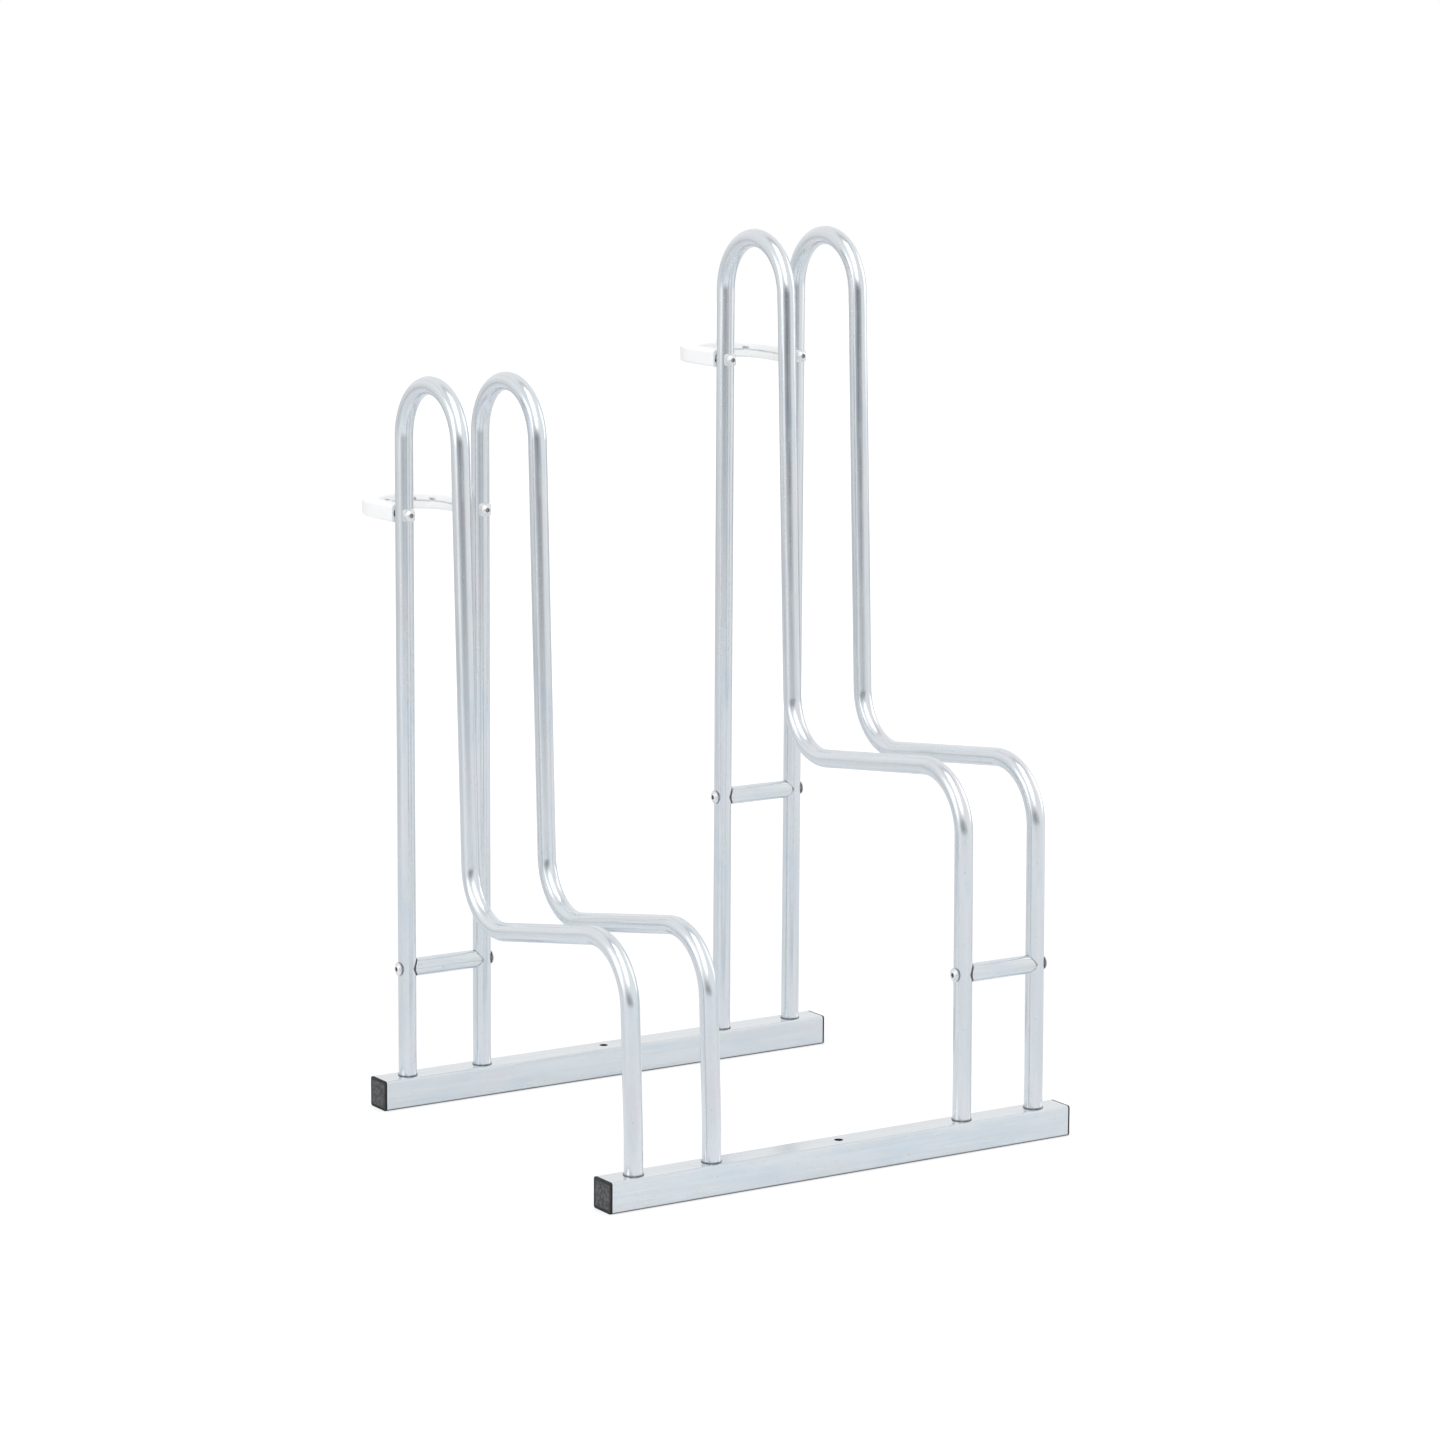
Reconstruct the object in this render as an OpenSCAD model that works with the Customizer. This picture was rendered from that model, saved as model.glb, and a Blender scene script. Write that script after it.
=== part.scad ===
// A floor rack for two bicycles. Two square bars lie on the floor. Each place is a pair of bent
// round tubes, the hoops, and the front wheel rolls in between them. One pair is low and the other
// is tall, so that the two handlebars miss each other. A white bow behind each pair takes the tyre.
// +Z is up, +X runs along the bars and the wheels roll in along +Y. The origin is on the floor,
// midway between the anchor holes of the two bars.

/* [Floor bars] */
// Width and height of the square bars
bar_size = 30; // [28:1:40]
// Wall of the bars
bar_wall = 1.5; // [1.2:0.1:2]
// Outer corner radius of the bars
bar_corner = 2.5; // [2.25:0.25:4]
// Length of each bar without its caps
bar_length = 518; // [505:1:640]
// Distance between the centre lines of the two bars
bar_spacing = 425; // [400:1:480]
// Distance from a bar's end to the middle of the nearest foot
foot_margin = 31.5; // [30:0.5:60]
// Diameter of the floor anchor hole in the middle of each bar
anchor_hole = 8.5; // [6:0.5:12]
// Diameter of the holes under the bars that let the foot screws in
access_hole = 14; // [12:0.5:18]

/* [End caps] */
// Thickness of the plate that shows
cap_plate = 2; // [1.5:0.25:4]
// How far a cap reaches into the bar
cap_depth = 16; // [12:1:22]
// Wall of the hollow plug behind the plate
cap_wall = 2; // [1.5:0.25:3]
// Thickness of the sealing ribs round the plug
cap_rib = 1.2; // [0.8:0.1:2]

/* [Hoops] */
// Outer diameter of the round tube
tube_dia = 18; // [16:0.5:20]
// Wall of the round tube
tube_wall = 1.5; // [1.2:0.1:2]
// Clear width between the two hoops of a pair
wheel_gap = 67; // [60:1:76]
// Centre line radius of the bend at the top
top_bend = 55; // [45:1:65]
// Centre line radius of the bend above the step
knee_bend = 56; // [45:1:70]
// Centre line radius of the bend in front of the step
step_bend = 59; // [45:1:70]
// Lean of the upper front legs, in degrees
upper_lean = 2.4; // [0.5:0.1:4]
// Height of the upright foot of each front leg
foot_rise = 34; // [30:1:50]
// Centre line radius of the slight bend above that foot
foot_bend = 400; // [350:10:600]

/* [Low pair] */
// Overall height of the low hoops
low_height = 729.5; // [660:0.5:800]
// Height where the step's centre line meets the front leg's
low_step = 251.5; // [230:0.5:300]
// Rise of the step towards the front, in degrees
low_step_angle = 10; // [4:0.5:12]
// Lean of the lower front legs, in degrees
low_leg_lean = 3; // [0.5:0.1:4]
// Height of the spacer between the rear legs
low_spacer_height = 138.5; // [100:0.5:180]
// How far the tyre bow's middle lies below the hoops' top
low_bow_drop = 139.5; // [90:0.5:250]

/* [Tall pair] */
// Overall height of the tall hoops
tall_height = 857; // [805:0.5:920]
// Height where the step's centre line meets the front leg's
tall_step = 372; // [340:0.5:420]
// Rise of the step towards the front, in degrees
tall_step_angle = 7; // [4:0.5:12]
// Lean of the lower front legs, in degrees
tall_leg_lean = 0.8; // [0.5:0.1:4]
// Height of the spacer between the rear legs
tall_spacer_height = 273.5; // [200:0.5:320]
// Height of the spacer between the front legs
front_spacer_height = 172.5; // [110:0.5:230]
// How far the tyre bow's middle lies below the hoops' top
tall_bow_drop = 134.5; // [90:0.5:250]

/* [Tyre bows] */
// Height of the moulded section
bow_height = 17; // [16:0.5:20]
// Width of the moulded section, seen from above
bow_width = 17.5; // [16.5:0.5:22]
// How far the bend runs outside the hoops, on each side
bow_bulge = 2; // [1:0.25:5]
// Length of the straight arms
bow_arm = 44; // [40:1:70]
// Corner radius of the section
bow_edge = 3; // [1:0.25:5]
// Height of the groove along the inner face
bow_groove = 1.6; // [1:0.2:2.4]
// Depth of that groove
groove_depth = 2.4; // [1:0.2:3]
// Width of the small pockets above the groove
pocket_width = 7; // [4:0.5:9]
// Height of the pockets
pocket_height = 2.6; // [1.5:0.1:3.2]
// Depth of the pockets
pocket_depth = 5; // [3:0.5:7]
// Angles of the pockets either side of the bow's middle, in degrees
pocket_angles = [24, 56];
// Diameter of the hollow in each arm's end
bow_hollow = 13.6; // [12:0.2:14]
// Depth of that hollow
hollow_depth = 5; // [3:0.5:8]

/* [Screws and inserts] */
// Diameter of all screws
screw_dia = 6; // [5:0.5:6.5]
// Diameter of their button heads
head_dia = 11; // [9.5:0.25:11.5]
// Height of the heads
head_height = 3.3; // [2.5:0.1:4]
// Diameter of the thin flange under the heads of the spacers' screws
flange_dia = 13.6; // [12:0.2:15]
// Thickness of that flange
flange_height = 1; // [0.4:0.1:1.4]
// Width across flats of the sockets
socket_size = 4; // [3:0.5:5]
// Depth of the sockets
socket_depth = 2; // [1.2:0.1:2.2]
// Length of the spacers' screws
spacer_screw = 30; // [26:1:32]
// Length of the bows' screws
bow_screw = 42; // [36:1:46]
// Width of the square saddle washers under the bows' screws
washer_size = 12; // [11.5:0.25:13]
// Thickness of those washers at the middle
washer_height = 2; // [1:0.25:3]
// Thickness of the black rings between a spacer's ends and the hoops
end_ring = 0.9; // [0.6:0.1:1.5]
// How far those rings lie below the tubes' surface
ring_recess = 0.3; // [0.2:0.05:0.6]
// Length of the foot screws
foot_screw = 20; // [14:1:24]
// Length of the inserts in the spacers
spacer_insert = 15; // [12:1:20]
// Outer diameter of the inserts in the bows
bow_insert_dia = 9; // [8.5:0.25:10]
// Length of the inserts in the bows
bow_insert = 14; // [10:1:18]
// Length of the plugs in the hoops' feet
foot_plug = 24; // [20:1:28]
// Thickness of the plugs' dark collars
plug_collar = 1; // [0.8:0.1:2]
// How far the collars stand out round the tubes
collar_lip = 0.8; // [0.4:0.1:1.4]

/* [Fits] */
// Gap on either side of a spacer's end ring
saddle_gap = 0.1; // [0.05:0.05:0.2]
// Gap round a plug or an insert
plug_gap = 0.15; // [0.1:0.05:0.3]
// Gap between a screw and its thread
thread_gap = 0.15; // [0.1:0.05:0.2]
// Gap between a screw and the hole that it passes
screw_clear = 0.3; // [0.2:0.05:0.6]
// Gap under the screw heads and at the ends of the bows
seat_gap = 0.1; // [0.05:0.05:0.3]

/* [Hidden] */
$fn = 64;
// How far a cut runs past the face that it opens
cut = 1;
// Height and half length of the bands where a bend joins a straight
seam_lip = 0.04;
seam_length = 1;
zinc = [0.80, 0.83, 0.86];
black = [0.10, 0.10, 0.11];
white = [0.94, 0.94, 0.93];
dark = [0.20, 0.21, 0.22];
bright = [0.86, 0.87, 0.88];
brass = [0.78, 0.66, 0.38];

hoop_pitch = wheel_gap + tube_dia;
tube_bore = tube_dia - 2 * tube_wall;
rear_y = bar_spacing / 2;
saddle_dia = tube_dia + 4 * saddle_gap + 2 * end_ring;
pair_spacing = bar_length - 2 * foot_margin - hoop_pitch;
low_x = -pair_spacing / 2;
tall_x = pair_spacing / 2;
side_x = hoop_pitch / 2;
foot_z = bar_size + plug_collar;
low_bow_height = low_height - low_bow_drop;
tall_bow_height = tall_height - tall_bow_drop;
clear_hole = screw_dia + 2 * screw_clear;
thread_hole = screw_dia + 2 * thread_gap;
bow_radius = side_x + bow_bulge;
// the arms lean in from the bend so that their ends meet the middles of the tubes
arm_reach = sqrt(side_x * side_x + bow_arm * bow_arm);
arm_lean = atan2(bow_arm, side_x) - acos(bow_radius / arm_reach);
arm_length = bow_arm * cos(arm_lean) - side_x * sin(arm_lean);
bow_y = rear_y + tube_dia / 2 + seat_gap;
feet_x = [for (pair = [low_x, tall_x], side = [-1, 1]) pair + side * side_x];

// where a leaning front leg's centre line is at a height
function leg_y(lean, height) = -rear_y + (height - foot_z - foot_rise) * tan(lean);

// The corner points of a hoop's centre line, in Y and Z, from the rear foot to the front foot
function hoop_points(height, step, step_angle, lean) =
    let (top_z = height - tube_dia / 2,
         crown = [rear_y - top_bend * (1 + tan(45 - upper_lean / 2)), top_z],
         nose = [leg_y(lean, step), step],
         away = nose - crown,
         down = -(away[0] * sin(step_angle) + away[1] * cos(step_angle)) / cos(step_angle - upper_lean),
         knee = crown - down * [sin(upper_lean), cos(upper_lean)])
    [[rear_y, foot_z], [rear_y, top_z], crown, knee, nose,
     [-rear_y, foot_z + foot_rise], [-rear_y, foot_z]];

function heading(p, i) = let (v = p[i + 1] - p[i]) atan2(v[1], v[0]);
// the turn at corner i, positive to the left
function turn(p, i) = let (t = heading(p, i) - heading(p, i - 1))
    t > 180 ? t - 360 : t < -180 ? t + 360 : t;
function along(angle) = [cos(angle), sin(angle)];
function tangent_length(p, r, i) =
    i == 0 || i == len(p) - 1 ? 0 : r[i] * tan(abs(turn(p, i)) / 2);

// A rod along a chain of points with a bend at each corner, in the XY plane. more lengthens its ends.
// A hair-thin band joins each straight to its bend.
module bent_rod(p, r, d, more = 0) {
    last = len(p) - 1;
    for (i = [0:last - 1]) {
        a = heading(p, i);
        start = i == 0 ? -more : tangent_length(p, r, i);
        end = norm(p[i + 1] - p[i]) - tangent_length(p, r, i + 1) + (i == last - 1 ? more : 0);
        if (end - start > seam_length)
            translate(p[i] + start * along(a)) rotate([0, 0, a]) rotate([0, 90, 0])
                cylinder(d = d, h = end - start);
    }
    for (i = [1:last - 1]) {
        t = turn(p, i);
        side = t > 0 ? 1 : -1;
        reach = tangent_length(p, r, i);
        begin = p[i] - reach * along(heading(p, i - 1));
        centre = begin + r[i] * along(heading(p, i - 1) + 90 * side);
        translate(centre) rotate([0, 0, (t > 0 ? heading(p, i - 1) : heading(p, i) + 180) - 90])
            rotate_extrude(angle = abs(t)) translate([r[i], 0]) circle(d = d);
        meets_last = norm(p[i] - p[i - 1]) - reach - tangent_length(p, r, i - 1) < seam_length;
        for (k = [meets_last ? 1 : 0, 1]) translate(p[i] + (2 * k - 1) * reach * along(heading(p, i - 1 + k)))
            rotate([0, 0, heading(p, i - 1 + k)]) rotate([0, 90, 0])
                cylinder(d = d + 2 * seam_lip, h = 2 * seam_length, center = true);
    }
}

// Stands a shape that is drawn in Y and Z upright, with its thickness along X
module upright() { rotate([90, 0, 90]) children(); }

// A bent tube, with screw holes across it at [y, z] and from the front at [y, z]
module hoop(x, height, step, step_angle, lean, cross_holes, bow_hole) {
    p = hoop_points(height, step, step_angle, lean);
    r = [0, top_bend, top_bend, knee_bend, step_bend, foot_bend, 0];
    color(zinc) translate([x, 0, 0]) difference() {
        upright() bent_rod(p, r, tube_dia);
        upright() bent_rod(p, r, tube_bore, cut);
        for (h = cross_holes) translate([0, h[0], h[1]]) rotate([0, 90, 0])
            cylinder(d = clear_hole, h = tube_dia + 2 * cut, center = true);
        translate([0, rear_y, bow_hole]) rotate([90, 0, 0])
            cylinder(d = clear_hole, h = tube_dia + 2 * cut, center = true);
    }
}
module low_hoop(side) {
    hoop(low_x + side * side_x, low_height, low_step, low_step_angle, low_leg_lean,
        [[rear_y, low_spacer_height]], low_bow_height);
}
module tall_hoop(side) {
    hoop(tall_x + side * side_x, tall_height, tall_step, tall_step_angle, tall_leg_lean,
        [[rear_y, tall_spacer_height], [front_spacer_y, front_spacer_height]], tall_bow_height);
}
front_spacer_y = leg_y(tall_leg_lean, front_spacer_height);
module low_hoop_left() { low_hoop(-1); }
module low_hoop_right() { low_hoop(1); }
module tall_hoop_left() { tall_hoop(-1); }
module tall_hoop_right() { tall_hoop(1); }

module rounded_square(size, r) {
    square([size, size - 2 * r], center = true);
    square([size - 2 * r, size], center = true);
    for (x = [-1, 1], y = [-1, 1]) translate([x * (size / 2 - r), y * (size / 2 - r)]) circle(r = r);
}

// A square bar along X with its middle at y
module bar(y) {
    color(zinc) translate([0, y, 0]) difference() {
        translate([0, 0, bar_size / 2]) rotate([90, 0, 90])
            linear_extrude(bar_length, center = true) rounded_square(bar_size, bar_corner);
        translate([0, 0, bar_size / 2]) rotate([90, 0, 90])
            linear_extrude(bar_length + 2 * cut, center = true)
                rounded_square(bar_size - 2 * bar_wall, bar_corner - bar_wall);
        translate([0, 0, -cut]) cylinder(d = anchor_hole, h = bar_size + 2 * cut);
        for (x = feet_x) translate([x, 0, 0]) {
            translate([0, 0, bar_size / 2]) cylinder(d = clear_hole, h = bar_size / 2 + cut);
            translate([0, 0, -cut]) cylinder(d = access_hole, h = bar_wall + 2 * cut);
        }
    }
}
module front_bar() { bar(-rear_y); }
module rear_bar() { bar(rear_y); }

// A cap for the bar end on one side, a plate with a hollow plug and three sealing ribs
module cap(side, y) {
    inside = bar_size - 2 * bar_wall - 2 * plug_gap;
    inner_corner = bar_corner - bar_wall;
    core = inside - cap_wall;
    color(black) translate([side * bar_length / 2, y, bar_size / 2]) rotate([0, side * 90, 0])
    difference() {
        union() {
            linear_extrude(cap_plate) rounded_square(bar_size, bar_corner);
            translate([0, 0, -cap_depth]) linear_extrude(cap_depth + cap_plate / 2)
                rounded_square(core, inner_corner);
            for (i = [1:3]) translate([0, 0, -i * cap_depth / 4 - cap_rib / 2])
                linear_extrude(cap_rib) rounded_square(inside, inner_corner);
        }
        translate([0, 0, -cap_depth - cut]) linear_extrude(cap_depth + cut)
            square(core - 2 * cap_wall, center = true);
    }
}
module front_cap_left() { cap(-1, -rear_y); }
module front_cap_right() { cap(1, -rear_y); }
module rear_cap_left() { cap(-1, rear_y); }
module rear_cap_right() { cap(1, rear_y); }

// A spacer tube between two legs, cut to a saddle at both ends
module spacer(x, y, z, lean = 0) {
    color(zinc) translate([x, y, z]) difference() {
        rotate([0, 90, 0]) cylinder(d = tube_dia, h = hoop_pitch, center = true);
        rotate([0, 90, 0]) cylinder(d = tube_bore, h = hoop_pitch + 2 * cut, center = true);
        for (side = [-1, 1]) translate([side * side_x, 0, 0]) rotate([-lean, 0, 0])
            cylinder(d = saddle_dia, h = 2 * tube_dia, center = true);
    }
}
module low_spacer() { spacer(low_x, rear_y, low_spacer_height); }
module tall_rear_spacer() { spacer(tall_x, rear_y, tall_spacer_height); }
module tall_front_spacer() { spacer(tall_x, front_spacer_y, front_spacer_height, tall_leg_lean); }

// A button-head screw with its shank up from the origin and its head below it
module screw(length) {
    dome = (head_height * head_height + head_dia * head_dia / 4) / (2 * head_height);
    tip = screw_dia / 6;
    color(bright) difference() {
        union() {
            intersection() {
                translate([0, 0, -head_height]) cylinder(d = head_dia, h = head_height);
                translate([0, 0, dome - head_height]) sphere(r = dome);
            }
            translate([0, 0, -head_height / 4]) cylinder(d = screw_dia, h = length - tip + head_height / 4);
            translate([0, 0, length - tip]) cylinder(d1 = screw_dia, d2 = screw_dia - 2 * tip, h = tip);
        }
        translate([0, 0, -head_height - cut])
            cylinder(d = socket_size / cos(30), h = socket_depth + cut, $fn = 6);
    }
}

// A threaded sleeve up from the origin
module sleeve(d, length) {
    difference() {
        cylinder(d = d, h = length);
        translate([0, 0, -cut]) cylinder(d = thread_hole, h = length + 2 * cut);
    }
}

// The two flanged screws of a spacer, one from each outer side
module spacer_screws(x, y, z) {
    for (side = [-1, 1]) translate([x + side * (side_x + tube_dia / 2 + seat_gap), y, z])
        rotate([0, -side * 90, 0]) {
            screw(spacer_screw);
            color(bright) translate([0, 0, -flange_height]) cylinder(d = flange_dia, h = flange_height);
        }
}
module low_spacer_screws() { spacer_screws(low_x, rear_y, low_spacer_height); }
module tall_rear_spacer_screws() { spacer_screws(tall_x, rear_y, tall_spacer_height); }
module tall_front_spacer_screws() { spacer_screws(tall_x, front_spacer_y, front_spacer_height); }

// The two threaded inserts of a spacer, just inside its saddles
module spacer_inserts(x, y, z) {
    for (side = [-1, 1]) translate([x + side * (side_x - saddle_dia / 2 - plug_gap), y, z])
        rotate([0, -side * 90, 0]) color(brass) sleeve(tube_bore - 2 * plug_gap, spacer_insert);
}
module low_spacer_inserts() { spacer_inserts(low_x, rear_y, low_spacer_height); }
module tall_rear_spacer_inserts() { spacer_inserts(tall_x, rear_y, tall_spacer_height); }
module tall_front_spacer_inserts() { spacer_inserts(tall_x, front_spacer_y, front_spacer_height); }

// The two black rings between a spacer's saddles and the hoops
module spacer_rings(x, y, z, lean = 0) {
    $fn = 160;
    for (side = [-1, 1]) translate([x + side * side_x, y, z]) color(black) difference() {
        intersection() {
            rotate([0, -side * 90, 0]) cylinder(d = tube_dia - 2 * ring_recess, h = tube_dia);
            rotate([-lean, 0, 0])
                cylinder(d = saddle_dia - 2 * saddle_gap, h = 2 * tube_dia, center = true);
        }
        rotate([0, 90, 0]) cylinder(d = tube_bore, h = 4 * tube_dia, center = true);
        rotate([-lean, 0, 0]) cylinder(d = tube_dia + 2 * saddle_gap, h = 3 * tube_dia, center = true);
    }
}
module low_spacer_rings() { spacer_rings(low_x, rear_y, low_spacer_height); }
module tall_rear_spacer_rings() { spacer_rings(tall_x, rear_y, tall_spacer_height); }
module tall_front_spacer_rings() {
    spacer_rings(tall_x, front_spacer_y, front_spacer_height, tall_leg_lean);
}

// The section of a bow, its middle at the origin
module bow_section(grow = 0) {
    w = bow_width + 2 * grow;
    h = bow_height + 2 * grow;
    square([w, h - 2 * bow_edge], center = true);
    square([w - 2 * bow_edge, h], center = true);
    for (x = [-1, 1], y = [-1, 1]) translate([x * (w / 2 - bow_edge), y * (h / 2 - bow_edge)])
        circle(r = bow_edge);
}
// The groove in the section's inner face, which lies towards -X
module groove_section() {
    translate([-bow_width / 2 - cut, -bow_groove / 2]) square([groove_depth + cut, bow_groove]);
}
// Sweeps a section round the bend
module round_bend() {
    translate([0, bow_arm, 0]) rotate([0, 0, -arm_lean]) rotate_extrude(angle = 180 + 2 * arm_lean)
        translate([bow_radius, 0]) children();
}
// Sweeps a section down both arms, from back behind the arm's start to length
module down_arms(back, length) {
    translate([0, bow_arm, 0]) for (side = [0, 1]) mirror([side, 0, 0]) rotate([0, 0, -arm_lean])
        translate([bow_radius, back, 0]) rotate([90, 0, 0]) linear_extrude(back + length) children();
}
// A bow with its arms' ends against the rear legs of a pair
module tyre_bow(x, z) {
    inner_radius = bow_radius - bow_width / 2;
    bore_length = hollow_depth + bow_insert + bow_screw / 4;
    color(white) translate([x, bow_y, z]) difference() {
        union() {
            round_bend() bow_section();
            down_arms(0, arm_length + bow_width * sin(arm_lean)) bow_section();
            down_arms(seam_length, seam_length) bow_section(seam_lip);
        }
        translate([-bow_radius - bow_width, -bow_width, -bow_height])
            cube([2 * (bow_radius + bow_width), bow_width, 2 * bow_height]);
        round_bend() groove_section();
        down_arms(seam_length, arm_length + bow_width) groove_section();
        for (a = pocket_angles, side = [-1, 1]) translate([0, bow_arm, 0]) rotate([0, 0, 90 + side * a])
            translate([inner_radius - cut, -pocket_width / 2, bow_groove / 4])
                cube([pocket_depth + cut, pocket_width, pocket_height + bow_groove / 4]);
        for (side = [-1, 1]) translate([side * side_x, -cut, 0]) rotate([-90, 0, 0]) {
            cylinder(d = bow_hollow, h = hollow_depth + cut);
            cylinder(d = bow_insert_dia + 2 * plug_gap, h = bore_length + cut);
        }
    }
}
module low_tyre_bow() { tyre_bow(low_x, low_bow_height); }
module tall_tyre_bow() { tyre_bow(tall_x, tall_bow_height); }

module bow_screws(x, z) {
    seat_y = rear_y - tube_dia / 2 - washer_height - 2 * seat_gap;
    for (side = [-1, 1]) translate([x + side * side_x, seat_y, z]) rotate([-90, 0, 0]) screw(bow_screw);
}
module low_bow_screws() { bow_screws(low_x, low_bow_height); }
module tall_bow_screws() { bow_screws(tall_x, tall_bow_height); }

// The washers between the bows' screws and the rear legs, flat in front and hollowed to the tube behind
module bow_washers(x, z) {
    for (side = [-1, 1]) translate([x + side * side_x, rear_y, z]) rotate([90, 0, 0]) color(bright)
        difference() {
            linear_extrude(tube_dia / 2 + seat_gap + washer_height)
                rounded_square(washer_size, washer_size / 6);
            rotate([90, 0, 0]) cylinder(d = tube_dia + 2 * seat_gap, h = 2 * washer_size, center = true);
            cylinder(d = clear_hole, h = 2 * tube_dia);
        }
}
module low_bow_washers() { bow_washers(low_x, low_bow_height); }
module tall_bow_washers() { bow_washers(tall_x, tall_bow_height); }

module bow_inserts(x, z) {
    for (side = [-1, 1]) translate([x + side * side_x, bow_y + hollow_depth, z])
        rotate([-90, 0, 0]) color(brass) sleeve(bow_insert_dia, bow_insert);
}
module low_bow_inserts() { bow_inserts(low_x, low_bow_height); }
module tall_bow_inserts() { bow_inserts(tall_x, tall_bow_height); }

// The threaded plugs in the feet on one bar. Their collars lie between tube and bar.
module foot_plugs(y) {
    for (x = feet_x) translate([x, y, bar_size]) color(dark) difference() {
        union() {
            cylinder(d = tube_dia + 2 * collar_lip, h = plug_collar);
            cylinder(d = tube_bore - 2 * plug_gap, h = foot_plug);
        }
        translate([0, 0, -cut]) cylinder(d = thread_hole, h = foot_plug + 2 * cut);
    }
}
module front_foot_plugs() { foot_plugs(-rear_y); }
module rear_foot_plugs() { foot_plugs(rear_y); }

// The foot screws of one bar, with their heads inside it under the top wall
module foot_screws(y) {
    for (x = feet_x) translate([x, y, bar_size - bar_wall - seat_gap]) screw(foot_screw);
}
module front_foot_screws() { foot_screws(-rear_y); }
module rear_foot_screws() { foot_screws(rear_y); }

front_bar();
rear_bar();
front_cap_left();
front_cap_right();
rear_cap_left();
rear_cap_right();
low_hoop_left();
low_hoop_right();
tall_hoop_left();
tall_hoop_right();
low_spacer();
tall_rear_spacer();
tall_front_spacer();
low_tyre_bow();
tall_tyre_bow();
low_spacer_screws();
tall_rear_spacer_screws();
tall_front_spacer_screws();
low_spacer_inserts();
tall_rear_spacer_inserts();
tall_front_spacer_inserts();
low_spacer_rings();
tall_rear_spacer_rings();
tall_front_spacer_rings();
low_bow_screws();
tall_bow_screws();
low_bow_inserts();
tall_bow_inserts();
low_bow_washers();
tall_bow_washers();
front_foot_plugs();
rear_foot_plugs();
front_foot_screws();
rear_foot_screws();
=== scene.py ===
"""The looks of a floor rack for two bicycles: zinc-plated bars and hoops, black caps and white tyre bows."""
import math

import bmesh
import bpy
from mathutils import Matrix, Vector


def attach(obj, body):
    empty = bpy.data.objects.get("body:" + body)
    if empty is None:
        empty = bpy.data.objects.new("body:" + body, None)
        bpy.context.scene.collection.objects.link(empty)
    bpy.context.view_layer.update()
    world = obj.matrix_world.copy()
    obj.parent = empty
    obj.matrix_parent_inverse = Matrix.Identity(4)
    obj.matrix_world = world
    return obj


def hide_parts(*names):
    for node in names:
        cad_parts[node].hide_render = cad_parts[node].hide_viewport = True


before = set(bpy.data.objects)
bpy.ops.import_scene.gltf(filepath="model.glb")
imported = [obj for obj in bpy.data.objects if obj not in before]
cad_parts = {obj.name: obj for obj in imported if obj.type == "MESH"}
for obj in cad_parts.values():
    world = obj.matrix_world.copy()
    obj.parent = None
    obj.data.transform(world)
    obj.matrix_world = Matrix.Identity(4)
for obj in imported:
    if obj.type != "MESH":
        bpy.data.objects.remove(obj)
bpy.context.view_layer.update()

bl_info = {
    "name": "Floor bike rack",
    "version": (1, 0, 0),
    "blender": (4, 5, 0),
    "location": "View3D > Sidebar > Bike rack",
    "description": "Builds a floor rack for two bicycles from its sizes and finishes",
    "category": "Object",
}


# Properties


def number(name, description, value, **more):
    """A plain number that a user may change."""
    return bpy.props.FloatProperty(name=name, description=description, default=value, min=0, **more)


def length(name, description, mm):
    """A length that a user may change, given here in millimetres."""
    return number(name, description, mm / 1000, precision=5, subtype="DISTANCE", unit="LENGTH")


def angle(name, description, degrees):
    """An angle that a user may change, given here in degrees."""
    return bpy.props.FloatProperty(
        name=name, description=description, default=math.radians(degrees), subtype="ANGLE", unit="ROTATION"
    )


def colour(name, description, rgb):
    """A colour that a user may change."""
    return bpy.props.FloatVectorProperty(
        name=name, description=description, default=rgb, size=3, min=0, max=1, subtype="COLOR"
    )


class RackBarSizes(bpy.types.PropertyGroup):
    """Sizes of the two floor bars and their end caps."""

    size: length("Bar size", "Width and height of the square bars", 30)
    wall: length("Bar wall", "Wall of the bars", 1.5)
    corner: length("Bar corner", "Outer corner radius of the bars", 2.5)
    reach: length("Bar length", "Length of each bar without its caps", 518)
    spacing: length("Bar spacing", "Distance between the centre lines of the bars", 425)
    foot_margin: length("Foot margin", "Distance from a bar's end to the middle of the nearest foot", 31.5)
    anchor_hole: length("Anchor hole", "Diameter of the floor anchor hole", 8.5)
    access_hole: length("Access hole", "Diameter of the holes under the bars", 14)
    cap_plate: length("Cap plate", "Thickness of the cap plate that shows", 2)
    cap_depth: length("Cap depth", "How far a cap reaches into the bar", 16)
    cap_wall: length("Cap wall", "Wall of the hollow plug behind the plate", 2)
    cap_rib: length("Cap rib", "Thickness of the sealing ribs", 1.2)
    cap_edge: length("Cap edge", "Radius of the rounded edge of the cap plate", 0.2)


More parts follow.
